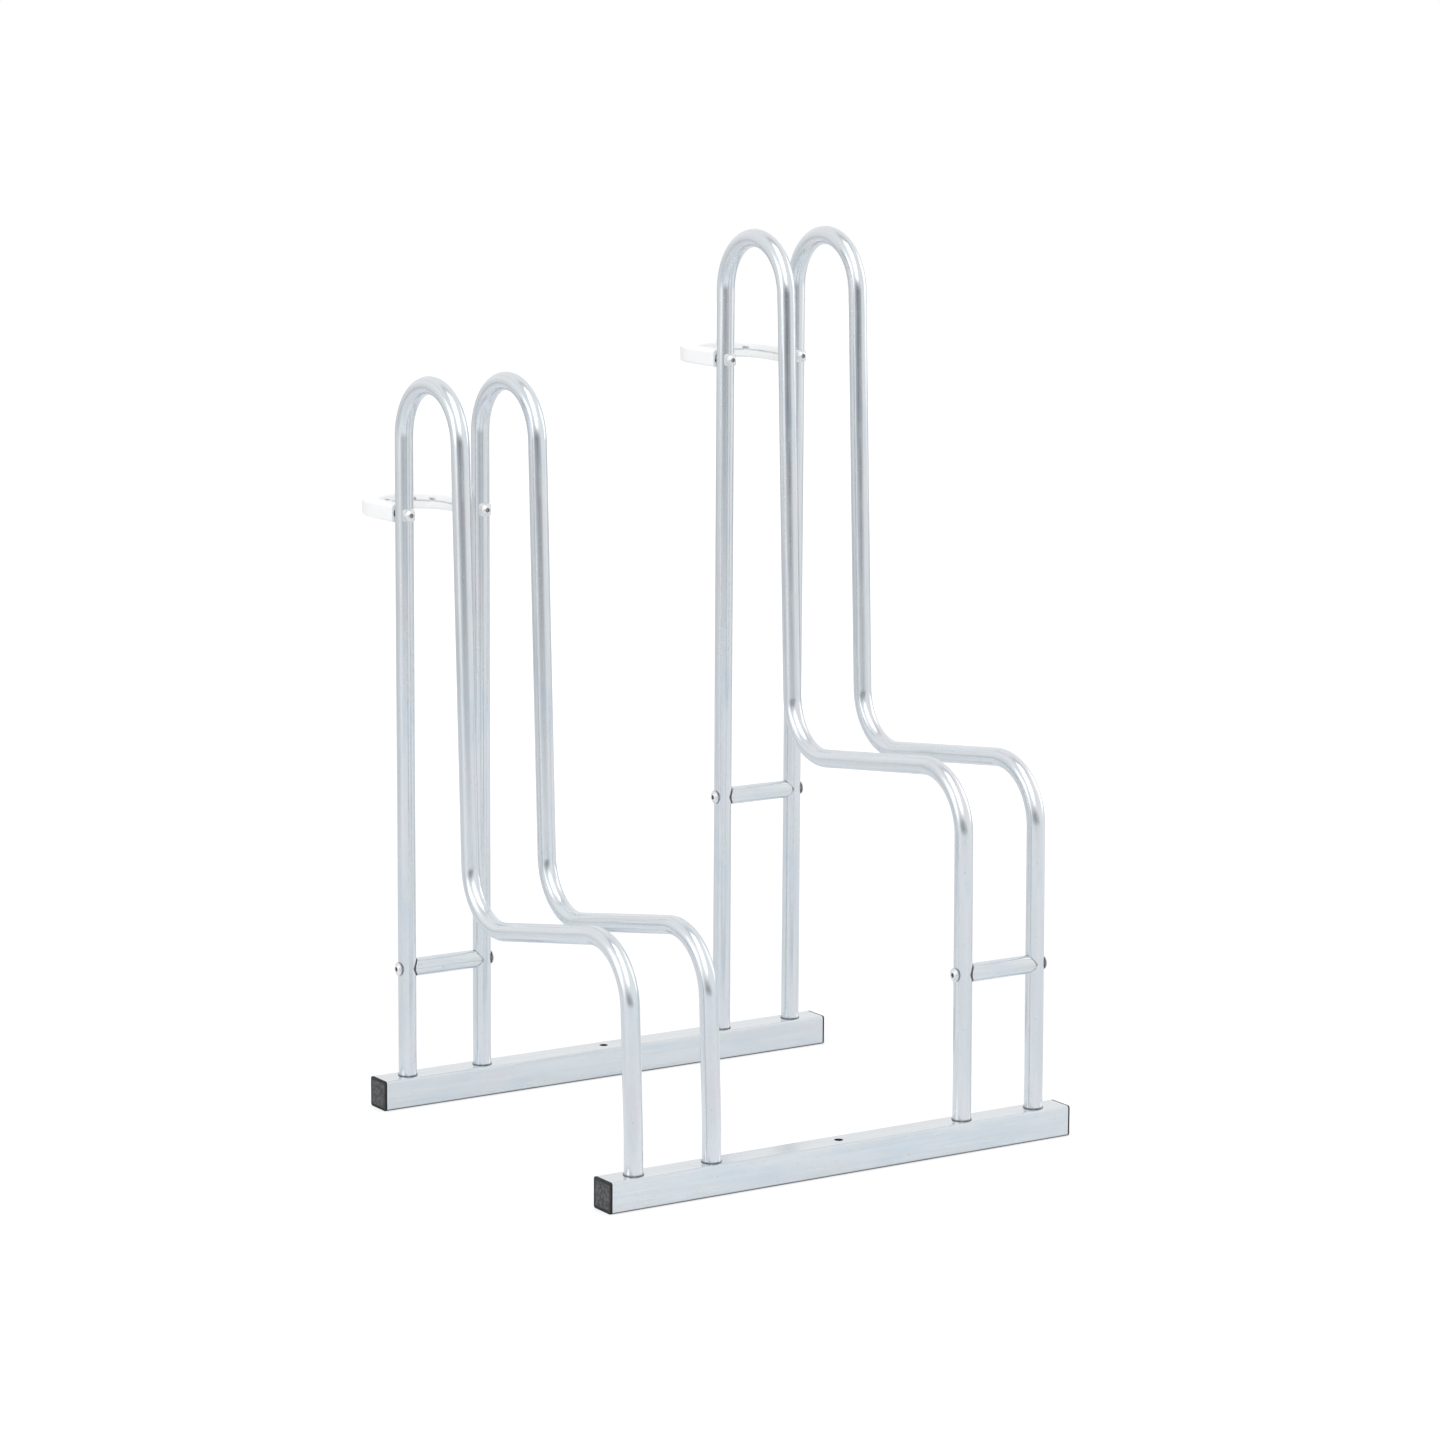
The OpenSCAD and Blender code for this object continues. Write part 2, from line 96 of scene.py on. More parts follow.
class RackTubeSizes(bpy.types.PropertyGroup):
    """Sizes that all the bent tubes share."""

    diameter: length("Tube diameter", "Outer diameter of the round tube", 18)
    wall: length("Tube wall", "Wall of the round tube", 1.5)
    wheel_gap: length("Wheel gap", "Clear width between the hoops of a pair", 67)
    top_bend: length("Top bend", "Centre line radius of the top bend", 55)
    knee_bend: length("Knee bend", "Centre line radius of the bend above the step", 56)
    step_bend: length("Step bend", "Centre line radius of the bend in front of the step", 59)
    foot_bend: length("Foot bend", "Centre line radius of the slight bend above the foot", 400)
    foot_rise: length("Foot rise", "Height of the upright foot of each front leg", 34)
    upper_lean: angle("Upper lean", "Lean of the upper front legs", 2.4)
    saddle_gap: length("Saddle gap", "Gap on either side of a spacer's end ring", 0.1)
    # These rings stand where the gap at a spacer's end lies in shade; their black is painted shade.
    end_ring: length("End ring", "Thickness of the black rings at the spacers' ends", 0.9)
    ring_recess: length("Ring recess", "How far those rings lie below the tubes' surface", 0.3)


class RackLowPair(bpy.types.PropertyGroup):
    """Sizes of the low pair of hoops."""

    height: length("Height", "Overall height of the low hoops", 729.5)
    step: length("Step height", "Height where the step meets the front leg", 251.5)
    step_angle: angle("Step angle", "Rise of the step towards the front", 10)
    leg_lean: angle("Leg lean", "Lean of the lower front legs", 3)
    rear_spacer: length("Rear spacer", "Height of the spacer between the rear legs", 138.5)
    front_spacer: length("Front spacer", "Height of the spacer between the front legs, or zero", 0)
    bow_drop: length("Bow drop", "How far the tyre bow lies below the top", 139.5)


class RackTallPair(bpy.types.PropertyGroup):
    """Sizes of the tall pair of hoops."""

    height: length("Height", "Overall height of the tall hoops", 857)
    step: length("Step height", "Height where the step meets the front leg", 372)
    step_angle: angle("Step angle", "Rise of the step towards the front", 7)
    leg_lean: angle("Leg lean", "Lean of the lower front legs", 0.8)
    rear_spacer: length("Rear spacer", "Height of the spacer between the rear legs", 273.5)
    front_spacer: length("Front spacer", "Height of the spacer between the front legs, or zero", 172.5)
    bow_drop: length("Bow drop", "How far the tyre bow lies below the top", 134.5)


class RackBowSizes(bpy.types.PropertyGroup):
    """Sizes of the white tyre bows."""

    height: length("Bow height", "Height of the moulded section", 17)
    width: length("Bow width", "Width of the moulded section, seen from above", 17.5)
    bulge: length("Bow bulge", "How far the bend runs outside the hoops", 2)
    arm: length("Bow arm", "Length of the straight arms", 44)
    edge: length("Bow edge", "Corner radius of the section", 3)
    groove: length("Groove height", "Height of the groove along the inner face", 1.6)
    groove_depth: length("Groove depth", "Depth of that groove", 2.4)
    pocket_width: length("Pocket width", "Width of the pockets above the groove", 7)
    pocket_height: length("Pocket height", "Height of the pockets", 2.6)
    pocket_depth: length("Pocket depth", "Depth of the pockets", 5)
    near_pocket: angle("Near pocket", "Angle of the nearer pockets from the bow's middle", 24)
    far_pocket: angle("Far pocket", "Angle of the further pockets from the bow's middle", 56)
    hollow: length("Hollow", "Diameter of the hollow in each arm's end", 13.6)
    hollow_depth: length("Hollow depth", "Depth of that hollow", 5)
    insert_diameter: length("Insert diameter", "Outer diameter of the inserts", 9)
    insert_length: length("Insert length", "Length of the inserts", 14)


class RackScrewSizes(bpy.types.PropertyGroup):
    """Sizes of the screws and of the plugs in the feet."""

    diameter: length("Screw diameter", "Diameter of all screws", 6)
    pitch: length("Pitch", "Distance between two turns of the thread", 1)
    head: length("Head diameter", "Diameter of the button heads", 11)
    head_height: length("Head height", "Height of the heads", 3.3)
    flange: length("Flange", "Diameter of the thin flange under the heads of the spacers' screws", 13.6)
    flange_height: length("Flange height", "Thickness of that flange", 1)
    socket: length("Socket size", "Width across flats of the hex sockets", 4)
    socket_depth: length("Socket depth", "Depth of the sockets", 2)
    spacer_screw: length("Spacer screw", "Length of the spacers' screws", 30)
    bow_screw: length("Bow screw", "Length of the bows' screws", 42)
    washer: length("Washer", "Width of the square saddle washers under the bows' screws", 12)
    washer_height: length("Washer height", "Thickness of those washers at the middle", 2)
    foot_screw: length("Foot screw", "Length of the foot screws", 20)
    plug: length("Foot plug", "Length of the plugs in the feet", 24)
    collar: length("Collar", "Thickness of the plugs' dark collars", 1)
    collar_lip: length("Collar lip", "How far the collars stand out round the tubes", 0.8)
    clearance: length("Screw clearance", "Gap between a screw and the hole it passes", 0.3)
    thread_gap: length("Thread gap", "Gap between a screw and its thread", 0.15)
    plug_gap: length("Plug gap", "Gap round a plug or an insert", 0.15)
    seat_gap: length("Seat gap", "Gap under the heads and at the bows' ends", 0.1)


class RackColours(bpy.types.PropertyGroup):
    """Colours and gloss of the rack's finishes."""

    zinc: colour("Zinc", "Colour of the zinc plating", (0.702, 0.738, 0.768))
    zinc_blue: colour("Zinc blue", "Bluish patches in the plating", (0.640, 0.705, 0.762))
    zinc_rose: colour("Zinc rose", "Rosy patches in the plating", (0.722, 0.718, 0.752))
    zinc_green: colour("Zinc green", "Greenish patches in the plating", (0.700, 0.742, 0.735))
    zinc_gloss: number("Zinc roughness", "Mean roughness of the plating", 0.20, max=1, subtype="FACTOR")
    cap: colour("Cap", "Colour of the black end caps", (0.010, 0.010, 0.011))
    # The caps' end faces take a paler tone than their sides.
    cap_face: colour("Cap face", "Colour of their rubbed end faces", (0.060, 0.060, 0.063))
    # Painted shade and light: the dark ring tone stands in for the shade in the gap at a spacer's left end, and the
    # paler tone of the right ring is painted light.
    ring: colour("Ring", "Colour of the rings at the spacers' ends", (0.085, 0.087, 0.092))
    ring_right: colour("Ring at the right", "Colour of the ring at a spacer's right end", (0.33, 0.34, 0.36))
    bow: colour("Bow", "Colour of the white tyre bows", (0.95, 0.952, 0.96))
    screw: colour("Screw", "Colour of the bright screws", (0.86, 0.865, 0.875))
    collar: colour("Collar", "Colour of the dark foot plugs", (0.26, 0.27, 0.28))
    # Painted shade: the inserts' brass is kept far darker than brass, for the hollows that they sit in.
    brass: colour("Brass", "Colour of the threaded inserts", (0.13, 0.115, 0.09))


class RackStage(bpy.types.PropertyGroup):
    """The floor, the lamps and the camera."""

    floor_radius: length("Floor radius", "Radius of the pale floor", 9000)
    floor: colour("Floor", "Colour of the pale floor", (0.885, 0.90, 0.915))
    surround: number("Surround", "Strength of the light from all round", 0.86)
    overhead: number("Overhead", "Power of the narrow lamp above the front", 38, unit="POWER")
    side: number("Side", "Power of the soft lamps at both sides", 12, unit="POWER")
    camera_turn: angle("Camera turn", "How far the camera stands to the left of the front", 32.871)
    camera_rise: angle("Camera rise", "How steeply the camera looks down", 10.225)
    camera_roll: angle("Camera roll", "How far the camera is rolled", 0.347)
    camera_place: bpy.props.FloatVectorProperty(
        name="Camera place", description="Where the camera stands", size=3, unit="LENGTH",
        subtype="TRANSLATION", default=(-2.4026, -3.7200, 1.1979),
    )
    focal_pixels: number("Focal length", "Focal length in pixels of a picture 1440 wide", 4657.7)


GROUPS = {
    "rack_bars": RackBarSizes,
    "rack_tubes": RackTubeSizes,
    "rack_low": RackLowPair,
    "rack_tall": RackTallPair,
    "rack_bows": RackBowSizes,
    "rack_screws": RackScrewSizes,
    "rack_colours": RackColours,
    "rack_stage": RackStage,
}


# Places that several pieces share

PAIRS = ("low", "tall")
SIDES = (-1, 1)
ENDS = ((-1, "left"), (1, "right"))
BARS = ((-1, "front"), (1, "rear"))


def hoop_side():
    """Distance from the middle of a pair to the centre line of either hoop."""
    tubes = bpy.context.scene.rack_tubes
    return (tubes.wheel_gap + tubes.diameter) / 2


def pair_middle(which):
    """Place of the middle of the low or the tall pair along the bars."""
    bars = bpy.context.scene.rack_bars
    middle = bars.reach / 2 - bars.foot_margin - hoop_side()
    return -middle if which == "low" else middle


def pair_sizes(which):
    """Sizes of the low or the tall pair."""
    return bpy.context.scene.rack_low if which == "low" else bpy.context.scene.rack_tall


def screw_hole():
    """Diameter of the holes that the screws pass."""
    screws = bpy.context.scene.rack_screws
    return screws.diameter + 2 * screws.clearance


def feet_along():
    """Places of the four feet along a bar."""
    return [pair_middle(which) + side * hoop_side() for which in PAIRS for side in SIDES]


def feet_places(side, height):
    """Where the feet of the front or the rear bar are at a height, for copies that face up."""
    y = side * bpy.context.scene.rack_bars.spacing / 2
    return [((x, y, height), (0, 0, 1)) for x in feet_along()]


def bow_places(which, y, way):
    """Where a pair's bow is screwed on, at a depth y, for copies that face a way."""
    pair = pair_sizes(which)
    return [((pair_middle(which) + side * hoop_side(), y, pair.height - pair.bow_drop), way) for side in SIDES]


def leg_place(pair, height):
    """Where the centre line of a leaning front leg is at a height."""
    scene = bpy.context.scene
    foot_top = scene.rack_bars.size + scene.rack_screws.collar + scene.rack_tubes.foot_rise
    return -scene.rack_bars.spacing / 2 + (height - foot_top) * math.tan(pair.leg_lean)


# Meshes

# A bent tube has a ring of points every so many radians of a bend, and every so many metres of a straight
BEND_STEP = math.radians(2)
STRAIGHT_STEP = 0.02
# Edges that are flatter than this, in degrees, are shaded smooth
SMOOTH_BELOW = 35
# Points round a turned piece, and round a tube
TURNED_POINTS = 48
TUBE_POINTS = 64


def mesh_object(name, points, edges=(), faces=()):
    """A new object with a plain mesh, linked to the scene."""
    mesh = bpy.data.meshes.new(name)
    mesh.from_pydata([tuple(p) for p in points], edges, faces)
    mesh.update()
    made = bpy.data.objects.new(name, mesh)
    bpy.context.scene.collection.objects.link(made)
    return made


def chain_object(name, points, closed=False):
    """An object whose edges join the points in a row."""
    edges = [(i, i + 1) for i in range(len(points) - 1)]
    if closed:
        edges.append((len(points) - 1, 0))
    return mesh_object(name, points, edges)


def skin_rings(name, rings, ends="closed"):
    """A mesh between rings of equally many points. Its ends are closed, or joined to each other."""
    count = len(rings[0])
    points = [p for ring in rings for p in ring]
    faces = []
    last = len(rings) if ends == "joined" else len(rings) - 1
    for i in range(last):
        here, there = i * count, (i + 1) % len(rings) * count
        for k in range(count):
            following = (k + 1) % count
            faces.append((here + k, here + following, there + following, there + k))
    if ends == "closed":
        faces.append(tuple(reversed(range(count))))
        faces.append(tuple(range((len(rings) - 1) * count, len(rings) * count)))
    made = mesh_object(name, points, faces=faces)
    outwards(made.data)
    return made


def outwards(mesh):
    """Merges doubles and turns all faces outwards."""
    work = bmesh.new()
    work.from_mesh(mesh)
    bmesh.ops.remove_doubles(work, verts=work.verts, dist=1e-7)
    bmesh.ops.recalc_face_normals(work, faces=work.faces)
    work.to_mesh(mesh)
    work.free()
    mesh.update()


def quarter(steps):
    """Angles over a quarter turn."""
    return [math.pi / 2 * k / steps for k in range(steps + 1)]


def circle_points(radius, z, count=TURNED_POINTS):
    """Points on a level circle."""
    return [
        Vector((radius * math.cos(2 * math.pi * k / count), radius * math.sin(2 * math.pi * k / count), z))
        for k in range(count)
    ]


def hexagon_points(flats, z):
    """Points on a level hexagon, at the same angles as those of a circle."""
    points = []
    for k in range(TURNED_POINTS):
        turn = 2 * math.pi * k / TURNED_POINTS
        reach = flats / 2 / math.cos((turn + math.pi / 6) % (math.pi / 3) - math.pi / 6)
        points.append(Vector((reach * math.cos(turn), reach * math.sin(turn), z)))
    return points


def rounded_rectangle(width, height, radius, steps=6):
    """Corner points of a rounded rectangle, anticlockwise, as (x, y)."""
    points = []
    for x, y, start in ((1, 1, 0), (-1, 1, 90), (-1, -1, 180), (1, -1, 270)):
        for k in range(steps + 1):
            turn = math.radians(start + 90 * k / steps)
            points.append((x * (width / 2 - radius) + radius * math.cos(turn),
                           y * (height / 2 - radius) + radius * math.sin(turn)))
    return points


def turned(plan):
    """Rings for a turned piece, from pairs of radius and height."""
    return [circle_points(radius, z) for radius, z in plan]


def bend_chain(corners, radii, holes, half):
    """Points along a chain of corners with a round bend at each, and extra points on the straights.

    Near each hole, only one point goes on either side of it, at half a width.
    """
    reaches = [0.0] * len(corners)
    turns = [0.0] * len(corners)
    for i in range(1, len(corners) - 1):
        before, after = (corners[i] - corners[i - 1]).normalized(), (corners[i + 1] - corners[i]).normalized()
        turns[i] = math.atan2(before.x * after.y - before.y * after.x, before.dot(after))
        reaches[i] = radii[i] * math.tan(abs(turns[i]) / 2)
    points = []
    for i in range(len(corners) - 1):
        way = corners[i + 1] - corners[i]
        along = way.normalized()
        start, end = reaches[i], way.length - reaches[i + 1]
        if i:
            side = Vector((-along_before.y, along_before.x)) * (1 if turns[i] > 0 else -1)
            begin = corners[i] - reaches[i] * along_before
            centre = begin + radii[i] * side
            count = max(2, math.ceil(abs(turns[i]) / BEND_STEP))
            for k in range(count + 1):
                spoke = begin - centre
                spoke.rotate(Matrix.Rotation(turns[i] * k / count, 2))
                points.append(centre + spoke)
        else:
            points.append(corners[0].copy())
        parts = max(1, round((end - start) / STRAIGHT_STEP))
        places = [start + (end - start) * k / parts for k in range(1, parts)]
        for spot in holes:
            near = (spot - corners[i]).dot(along)
            if start < near < end and abs((spot - corners[i]).cross(along)) < 1e-3:
                places = [p for p in places if abs(p - near) > 1.6 * half] + [near - half, near + half]
        points.extend(corners[i] + p * along for p in sorted(places))
        along_before = along
    points.append(corners[-1].copy())
    return [p for i, p in enumerate(points) if i == 0 or (p - points[i - 1]).length > 1e-5]


def plain_mesh(worker):
    """The mesh that an object's modifiers give."""
    graph = bpy.context.evaluated_depsgraph_get()
    return bpy.data.meshes.new_from_object(worker.evaluated_get(graph), preserve_all_data_layers=True, depsgraph=graph)


def finished(worker, name, node, level=False):
    """Turns an object with its modifiers into a plain piece that stands for its CAD node.

    level keeps flat faces flat beside rounded edges.
    """
    mesh = plain_mesh(worker)
    if len(mesh.polygons) == 0:
        raise RuntimeError(f"{name} came out empty")
    mesh.polygons.foreach_set("use_smooth", [True] * len(mesh.polygons))
    mesh.set_sharp_from_angle(angle=math.radians(SMOOTH_BELOW))
    if level:
        worker.modifiers.clear()
        worker.data = mesh
        weighted = worker.modifiers.new("Level normals", "WEIGHTED_NORMAL")
        weighted.keep_sharp, weighted.weight = True, 100
        mesh = plain_mesh(worker)
    mesh.name = name
    bpy.data.objects.remove(worker)
    piece = bpy.data.objects.new(name, mesh)
    bpy.context.scene.collection.objects.link(piece)
    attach(piece, "root")
    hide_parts(node)


def mark(piece, name, values, kind="FLOAT"):
    """Stores a number or a vector at each point of a piece, for its tree or its finish."""
    made = piece.data.attributes.new(name, kind, "POINT")
    made.data.foreach_set("vector" if kind == "FLOAT_VECTOR" else "value", values)


def hollow_out(worker, thickness):
    """Gives a tube its wall, inwards."""
    wall = worker.modifiers.new("Wall", "SOLIDIFY")
    wall.thickness, wall.offset, wall.use_even_offset = thickness, -1, True


def drill(worker, cutters, name):
    """Cuts the cutters' shapes out of an object, with a live modifier."""
    cut = worker.modifiers.new(name, "BOOLEAN")
    cut.operation = "DIFFERENCE"
    cut.solver = "EXACT"
    cut.object = cutters
    cutters.hide_render = True


def joined(name, parts):
    """Joins several objects into one."""
    work = bmesh.new()
    for part in parts:
        work.from_mesh(part.data)
    made = mesh_object(name, ())
    work.to_mesh(made.data)
    work.free()
    for part in parts:
        bpy.data.objects.remove(part)
    return made


def rod_cutter(name, start, end, diameter):
    """A round cutter from start to end."""
    way = Vector(end) - Vector(start)
    place = Matrix.Translation(start) @ way.to_track_quat("Z", "Y").to_matrix().to_4x4()
    rings = [[place @ p for p in circle_points(diameter / 2, z, 32)] for z in (0, way.length)]
    return skin_rings(name, rings)


# Node trees


def add(tree, kind, values=None, **settings):
    """Adds a node, sets its options, and fills or links its inputs. Returns it."""
    made = tree.nodes.new(kind)
    for key, value in settings.items():
        setattr(made, key, value)
    for key, value in (values or {}).items():
        if isinstance(value, bpy.types.NodeSocket):
            tree.links.new(value, made.inputs[key])
        else:
            made.inputs[key].default_value = value
    return made


def new_tree(name, inputs):
    """A node tree that makes geometry, with named inputs. Returns it with its input node."""
    tree = bpy.data.node_groups.new(name, "GeometryNodeTree")
    for label, kind, default, words in inputs:
        made = tree.interface.new_socket(name=label, in_out="INPUT", socket_type=kind, description=words)
        if default is not None:
            made.default_value = default
    tree.interface.new_socket(name="Geometry", in_out="OUTPUT", socket_type="NodeSocketGeometry")
    return tree, tree.nodes.new("NodeGroupInput")


def end_tree(tree, geometry, finish):
    """Ends a tree with real geometry that has its material."""
    real = add(tree, "GeometryNodeRealizeInstances", {"Geometry": geometry})
    dressed = add(tree, "GeometryNodeSetMaterial", {"Geometry": real.outputs[0], "Material": finish})
    out = tree.nodes.new("NodeGroupOutput")
    tree.links.new(dressed.outputs[0], out.inputs[0])
    return tree


def use_tree(worker, tree, **values):
    """Puts a tree on an object, and sets its inputs by their identifiers."""
    modifier = worker.modifiers.new(tree.name, "NODES")
    modifier.node_group = tree
    for item in tree.interface.items_tree:
        key = item.name.lower().replace(" ", "_")
        if item.item_type == "SOCKET" and item.in_out == "INPUT" and key in values:
            modifier[item.identifier] = values.pop(key)
    if values:
        raise KeyError(f"{tree.name} has no input named {sorted(values)}")


def stored(tree, geometry, name, value, kind):
    """Keeps a value at each point as a named attribute."""
    return add(tree, "GeometryNodeStoreNamedAttribute", {
        "Geometry": geometry.outputs[0], "Name": name, "Value": value}, data_type=kind, domain="POINT")


def kept(tree, name, kind):
    """Reads a named attribute."""
    return add(tree, "GeometryNodeInputNamedAttribute", {"Name": name}, data_type=kind).outputs[0]


def tube_tree():
    """A round tube along a chain, with its place along and round the tube kept as the attribute skin."""
    tree, given = new_tree("bent_tube", [
        ("Path", "NodeSocketGeometry", None, "Chain of points along the centre line"),
        ("Diameter", "NodeSocketFloat", 0.018, "Outer diameter of the tube"),
        ("Sides", "NodeSocketInt", TUBE_POINTS, "Faces round the tube"),
        ("Finish", "NodeSocketMaterial", None, "Material of the tube"),
    ])
    radius = add(tree, "ShaderNodeMath", {0: given.outputs["Diameter"], 1: 0.5}, operation="MULTIPLY")
    path = add(tree, "GeometryNodeMeshToCurve", {"Mesh": given.outputs["Path"]})
    place = add(tree, "GeometryNodeSplineParameter").outputs["Length"]
    marked = stored(tree, path, "along", place, "FLOAT")
    ring = add(tree, "GeometryNodeCurvePrimitiveCircle", {
        "Resolution": given.outputs["Sides"], "Radius": radius.outputs[0]}, mode="RADIUS")
    marked_ring = stored(tree, ring, "around", add(tree, "GeometryNodeInputPosition").outputs[0], "FLOAT_VECTOR")
    tube = add(tree, "GeometryNodeCurveToMesh", {"Curve": marked.outputs[0], "Profile Curve": marked_ring.outputs[0]})
    around = add(tree, "ShaderNodeSeparateXYZ", {0: kept(tree, "around", "FLOAT_VECTOR")})
    skin = add(tree, "ShaderNodeCombineXYZ", {
        "X": kept(tree, "along", "FLOAT"), "Y": around.outputs["X"], "Z": around.outputs["Y"]})
    skinned = stored(tree, tube, "skin", skin.outputs[0], "FLOAT_VECTOR")
    smooth = add(tree, "GeometryNodeSetShadeSmooth", {"Geometry": skinned.outputs[0]})
    return end_tree(tree, smooth.outputs[0], given.outputs["Finish"])


def section_tree():
    """A closed section swept along a level chain, upright all the way."""
    tree, given = new_tree("swept_section", [
        ("Path", "NodeSocketGeometry", None, "Chain of points along the piece"),
        ("Section", "NodeSocketObject", None, "Closed outline, its x axis across the path"),
        ("Scale", "NodeSocketFloat", 1.0, "Size of the section against its outline"),
        ("Closed Ends", "NodeSocketBool", True, "Whether the ends are closed"),
        ("Finish", "NodeSocketMaterial", None, "Material of the piece"),
    ])
    path = add(tree, "GeometryNodeMeshToCurve", {"Mesh": given.outputs["Path"]})
    upright = add(tree, "GeometryNodeSetCurveNormal", {"Curve": path.outputs[0]}, mode="Z_UP")
    outline = add(tree, "GeometryNodeObjectInfo", {"Object": given.outputs["Section"]}, transform_space="ORIGINAL")
    section = add(tree, "GeometryNodeMeshToCurve", {"Mesh": outline.outputs["Geometry"]})
    swept = add(tree, "GeometryNodeCurveToMesh", {
        "Curve": upright.outputs[0], "Profile Curve": section.outputs[0], "Scale": given.outputs["Scale"],
        "Fill Caps": given.outputs["Closed Ends"]})
    smooth = add(tree, "GeometryNodeSetShadeSmooth", {"Geometry": swept.outputs[0]})
    return end_tree(tree, smooth.outputs[0], given.outputs["Finish"])


def copies_tree():
    """A piece repeated at points, its z axis along the attribute facing, each copy turned a little differently."""
    tree, given = new_tree("placed_copies", [
        ("Points", "NodeSocketGeometry", None, "Where the copies go"),
        ("Piece", "NodeSocketObject", None, "What is repeated"),
        ("Turn", "NodeSocketFloat", math.pi, "Most that a copy is turned about its axis"),
        ("Turn Seed", "NodeSocketInt", 3, "Seed of those turns"),
        ("Finish", "NodeSocketMaterial", None, "Material of the copies"),
    ])
    facing = kept(tree, "facing", "FLOAT_VECTOR")
    aimed = add(tree, "FunctionNodeAlignRotationToVector", {"Vector": facing}, axis="Z")
    amount = add(tree, "FunctionNodeRandomValue", {2: 0.0, 3: given.outputs["Turn"], 8: given.outputs["Turn Seed"]},
                 data_type="FLOAT")
    turn = add(tree, "FunctionNodeAxisAngleToRotation", {"Axis": (0, 0, 1), "Angle": amount.outputs[1]})
    both = add(tree, "FunctionNodeRotateRotation", {"Rotation": aimed.outputs[0], "Rotate By": turn.outputs[0]},
               rotation_space="LOCAL")
    piece = add(tree, "GeometryNodeObjectInfo", {"Object": given.outputs["Piece"]}, transform_space="ORIGINAL")
    placed = add(tree, "GeometryNodeInstanceOnPoints", {
        "Points": given.outputs["Points"], "Instance": piece.outputs["Geometry"], "Rotation": both.outputs[0]})
    return end_tree(tree, placed.outputs[0], given.outputs["Finish"])


def tree_named(name, maker):
    """A tree that is made once and used by several pieces."""
    return bpy.data.node_groups.get(name) or maker()


def copies(name, pattern, places, node, finish, turn=math.pi, seed=3):
    """A piece made of copies of a pattern, at (point, facing) places."""
    worker = mesh_object(name + "_points", [p for p, _ in places])
    mark(worker, "facing", [c for _, way in places for c in way], "FLOAT_VECTOR")
    use_tree(worker, tree_named("placed_copies", copies_tree),
             piece=pattern, turn=turn, turn_seed=seed, finish=surface(finish))
    finished(worker, name, node)


# Finishes


def new_finish(name):
    """A material with a plain surface shader. Returns it with its tree and shader."""
    made = bpy.data.materials.new(name)
    made.use_nodes = True
    tree = made.node_tree
    return made, tree, tree.nodes["Principled BSDF"]


def scaled(tone, factor):
    """A colour, darker or brighter by a factor."""
    return tuple(c * factor for c in tone)


def noise(tree, coordinates, detail, scale=1.0, roughness=0.5):
    """Soft noise between 0 and 1."""
    return add(tree, "ShaderNodeTexNoise", {
        "Vector": coordinates, "Scale": scale, "Detail": detail, "Roughness": roughness}).outputs["Fac"]


def between(tree, value, low, high, to_low=0.0, to_high=1.0):
    """Maps a value softly from one range to another, and holds it inside."""
    return add(tree, "ShaderNodeMapRange", {
        "Value": value, "From Min": low, "From Max": high, "To Min": to_low, "To Max": to_high,
    }, interpolation_type="SMOOTHSTEP").outputs["Result"]


def blend(tree, factor, first, second):
    """Mixes two colours."""
    made = add(tree, "ShaderNodeMix", data_type="RGBA")
    for socket, value in ((made.inputs[0], factor), (made.inputs[6], first), (made.inputs[7], second)):
        if isinstance(value, bpy.types.NodeSocket):
            tree.links.new(value, socket)
        else:
            socket.default_value = (*value, 1) if hasattr(value, "__len__") and len(value) == 3 else value
    return made.outputs[2]


def sums(tree, operation, first, *others):
    """One number from several, by the same operation in turn."""
    for other in others:
        first = add(tree, "ShaderNodeMath", {0: first, 1: other}, operation=operation).outputs[0]
    return first


def vectors(tree, operation, first, second=(0, 0, 0)):
    """The outputs of a node that works out a vector, or a number, from one or two vectors."""
    return add(tree, "ShaderNodeVectorMath", {0: first, 1: second}, operation=operation).outputs


def marked_with(tree, name):
    """The number that a piece's mesh keeps under a name."""
    return add(tree, "ShaderNodeAttribute", attribute_name=name).outputs["Fac"]


def object_place(tree):
    """Place on the piece, in its own coordinates."""
    return add(tree, "ShaderNodeTexCoord").outputs["Object"]


def dress(tree, shader, base, rough, height, strength, distance):
    """Links a finish's colour, roughness and relief to its shader."""
    tree.links.new(base, shader.inputs["Base Color"])
    tree.links.new(rough, shader.inputs["Roughness"])
    bump = add(tree, "ShaderNodeBump", {"Strength": strength, "Distance": distance, "Height": height})
    tree.links.new(bump.outputs[0], shader.inputs["Normal"])


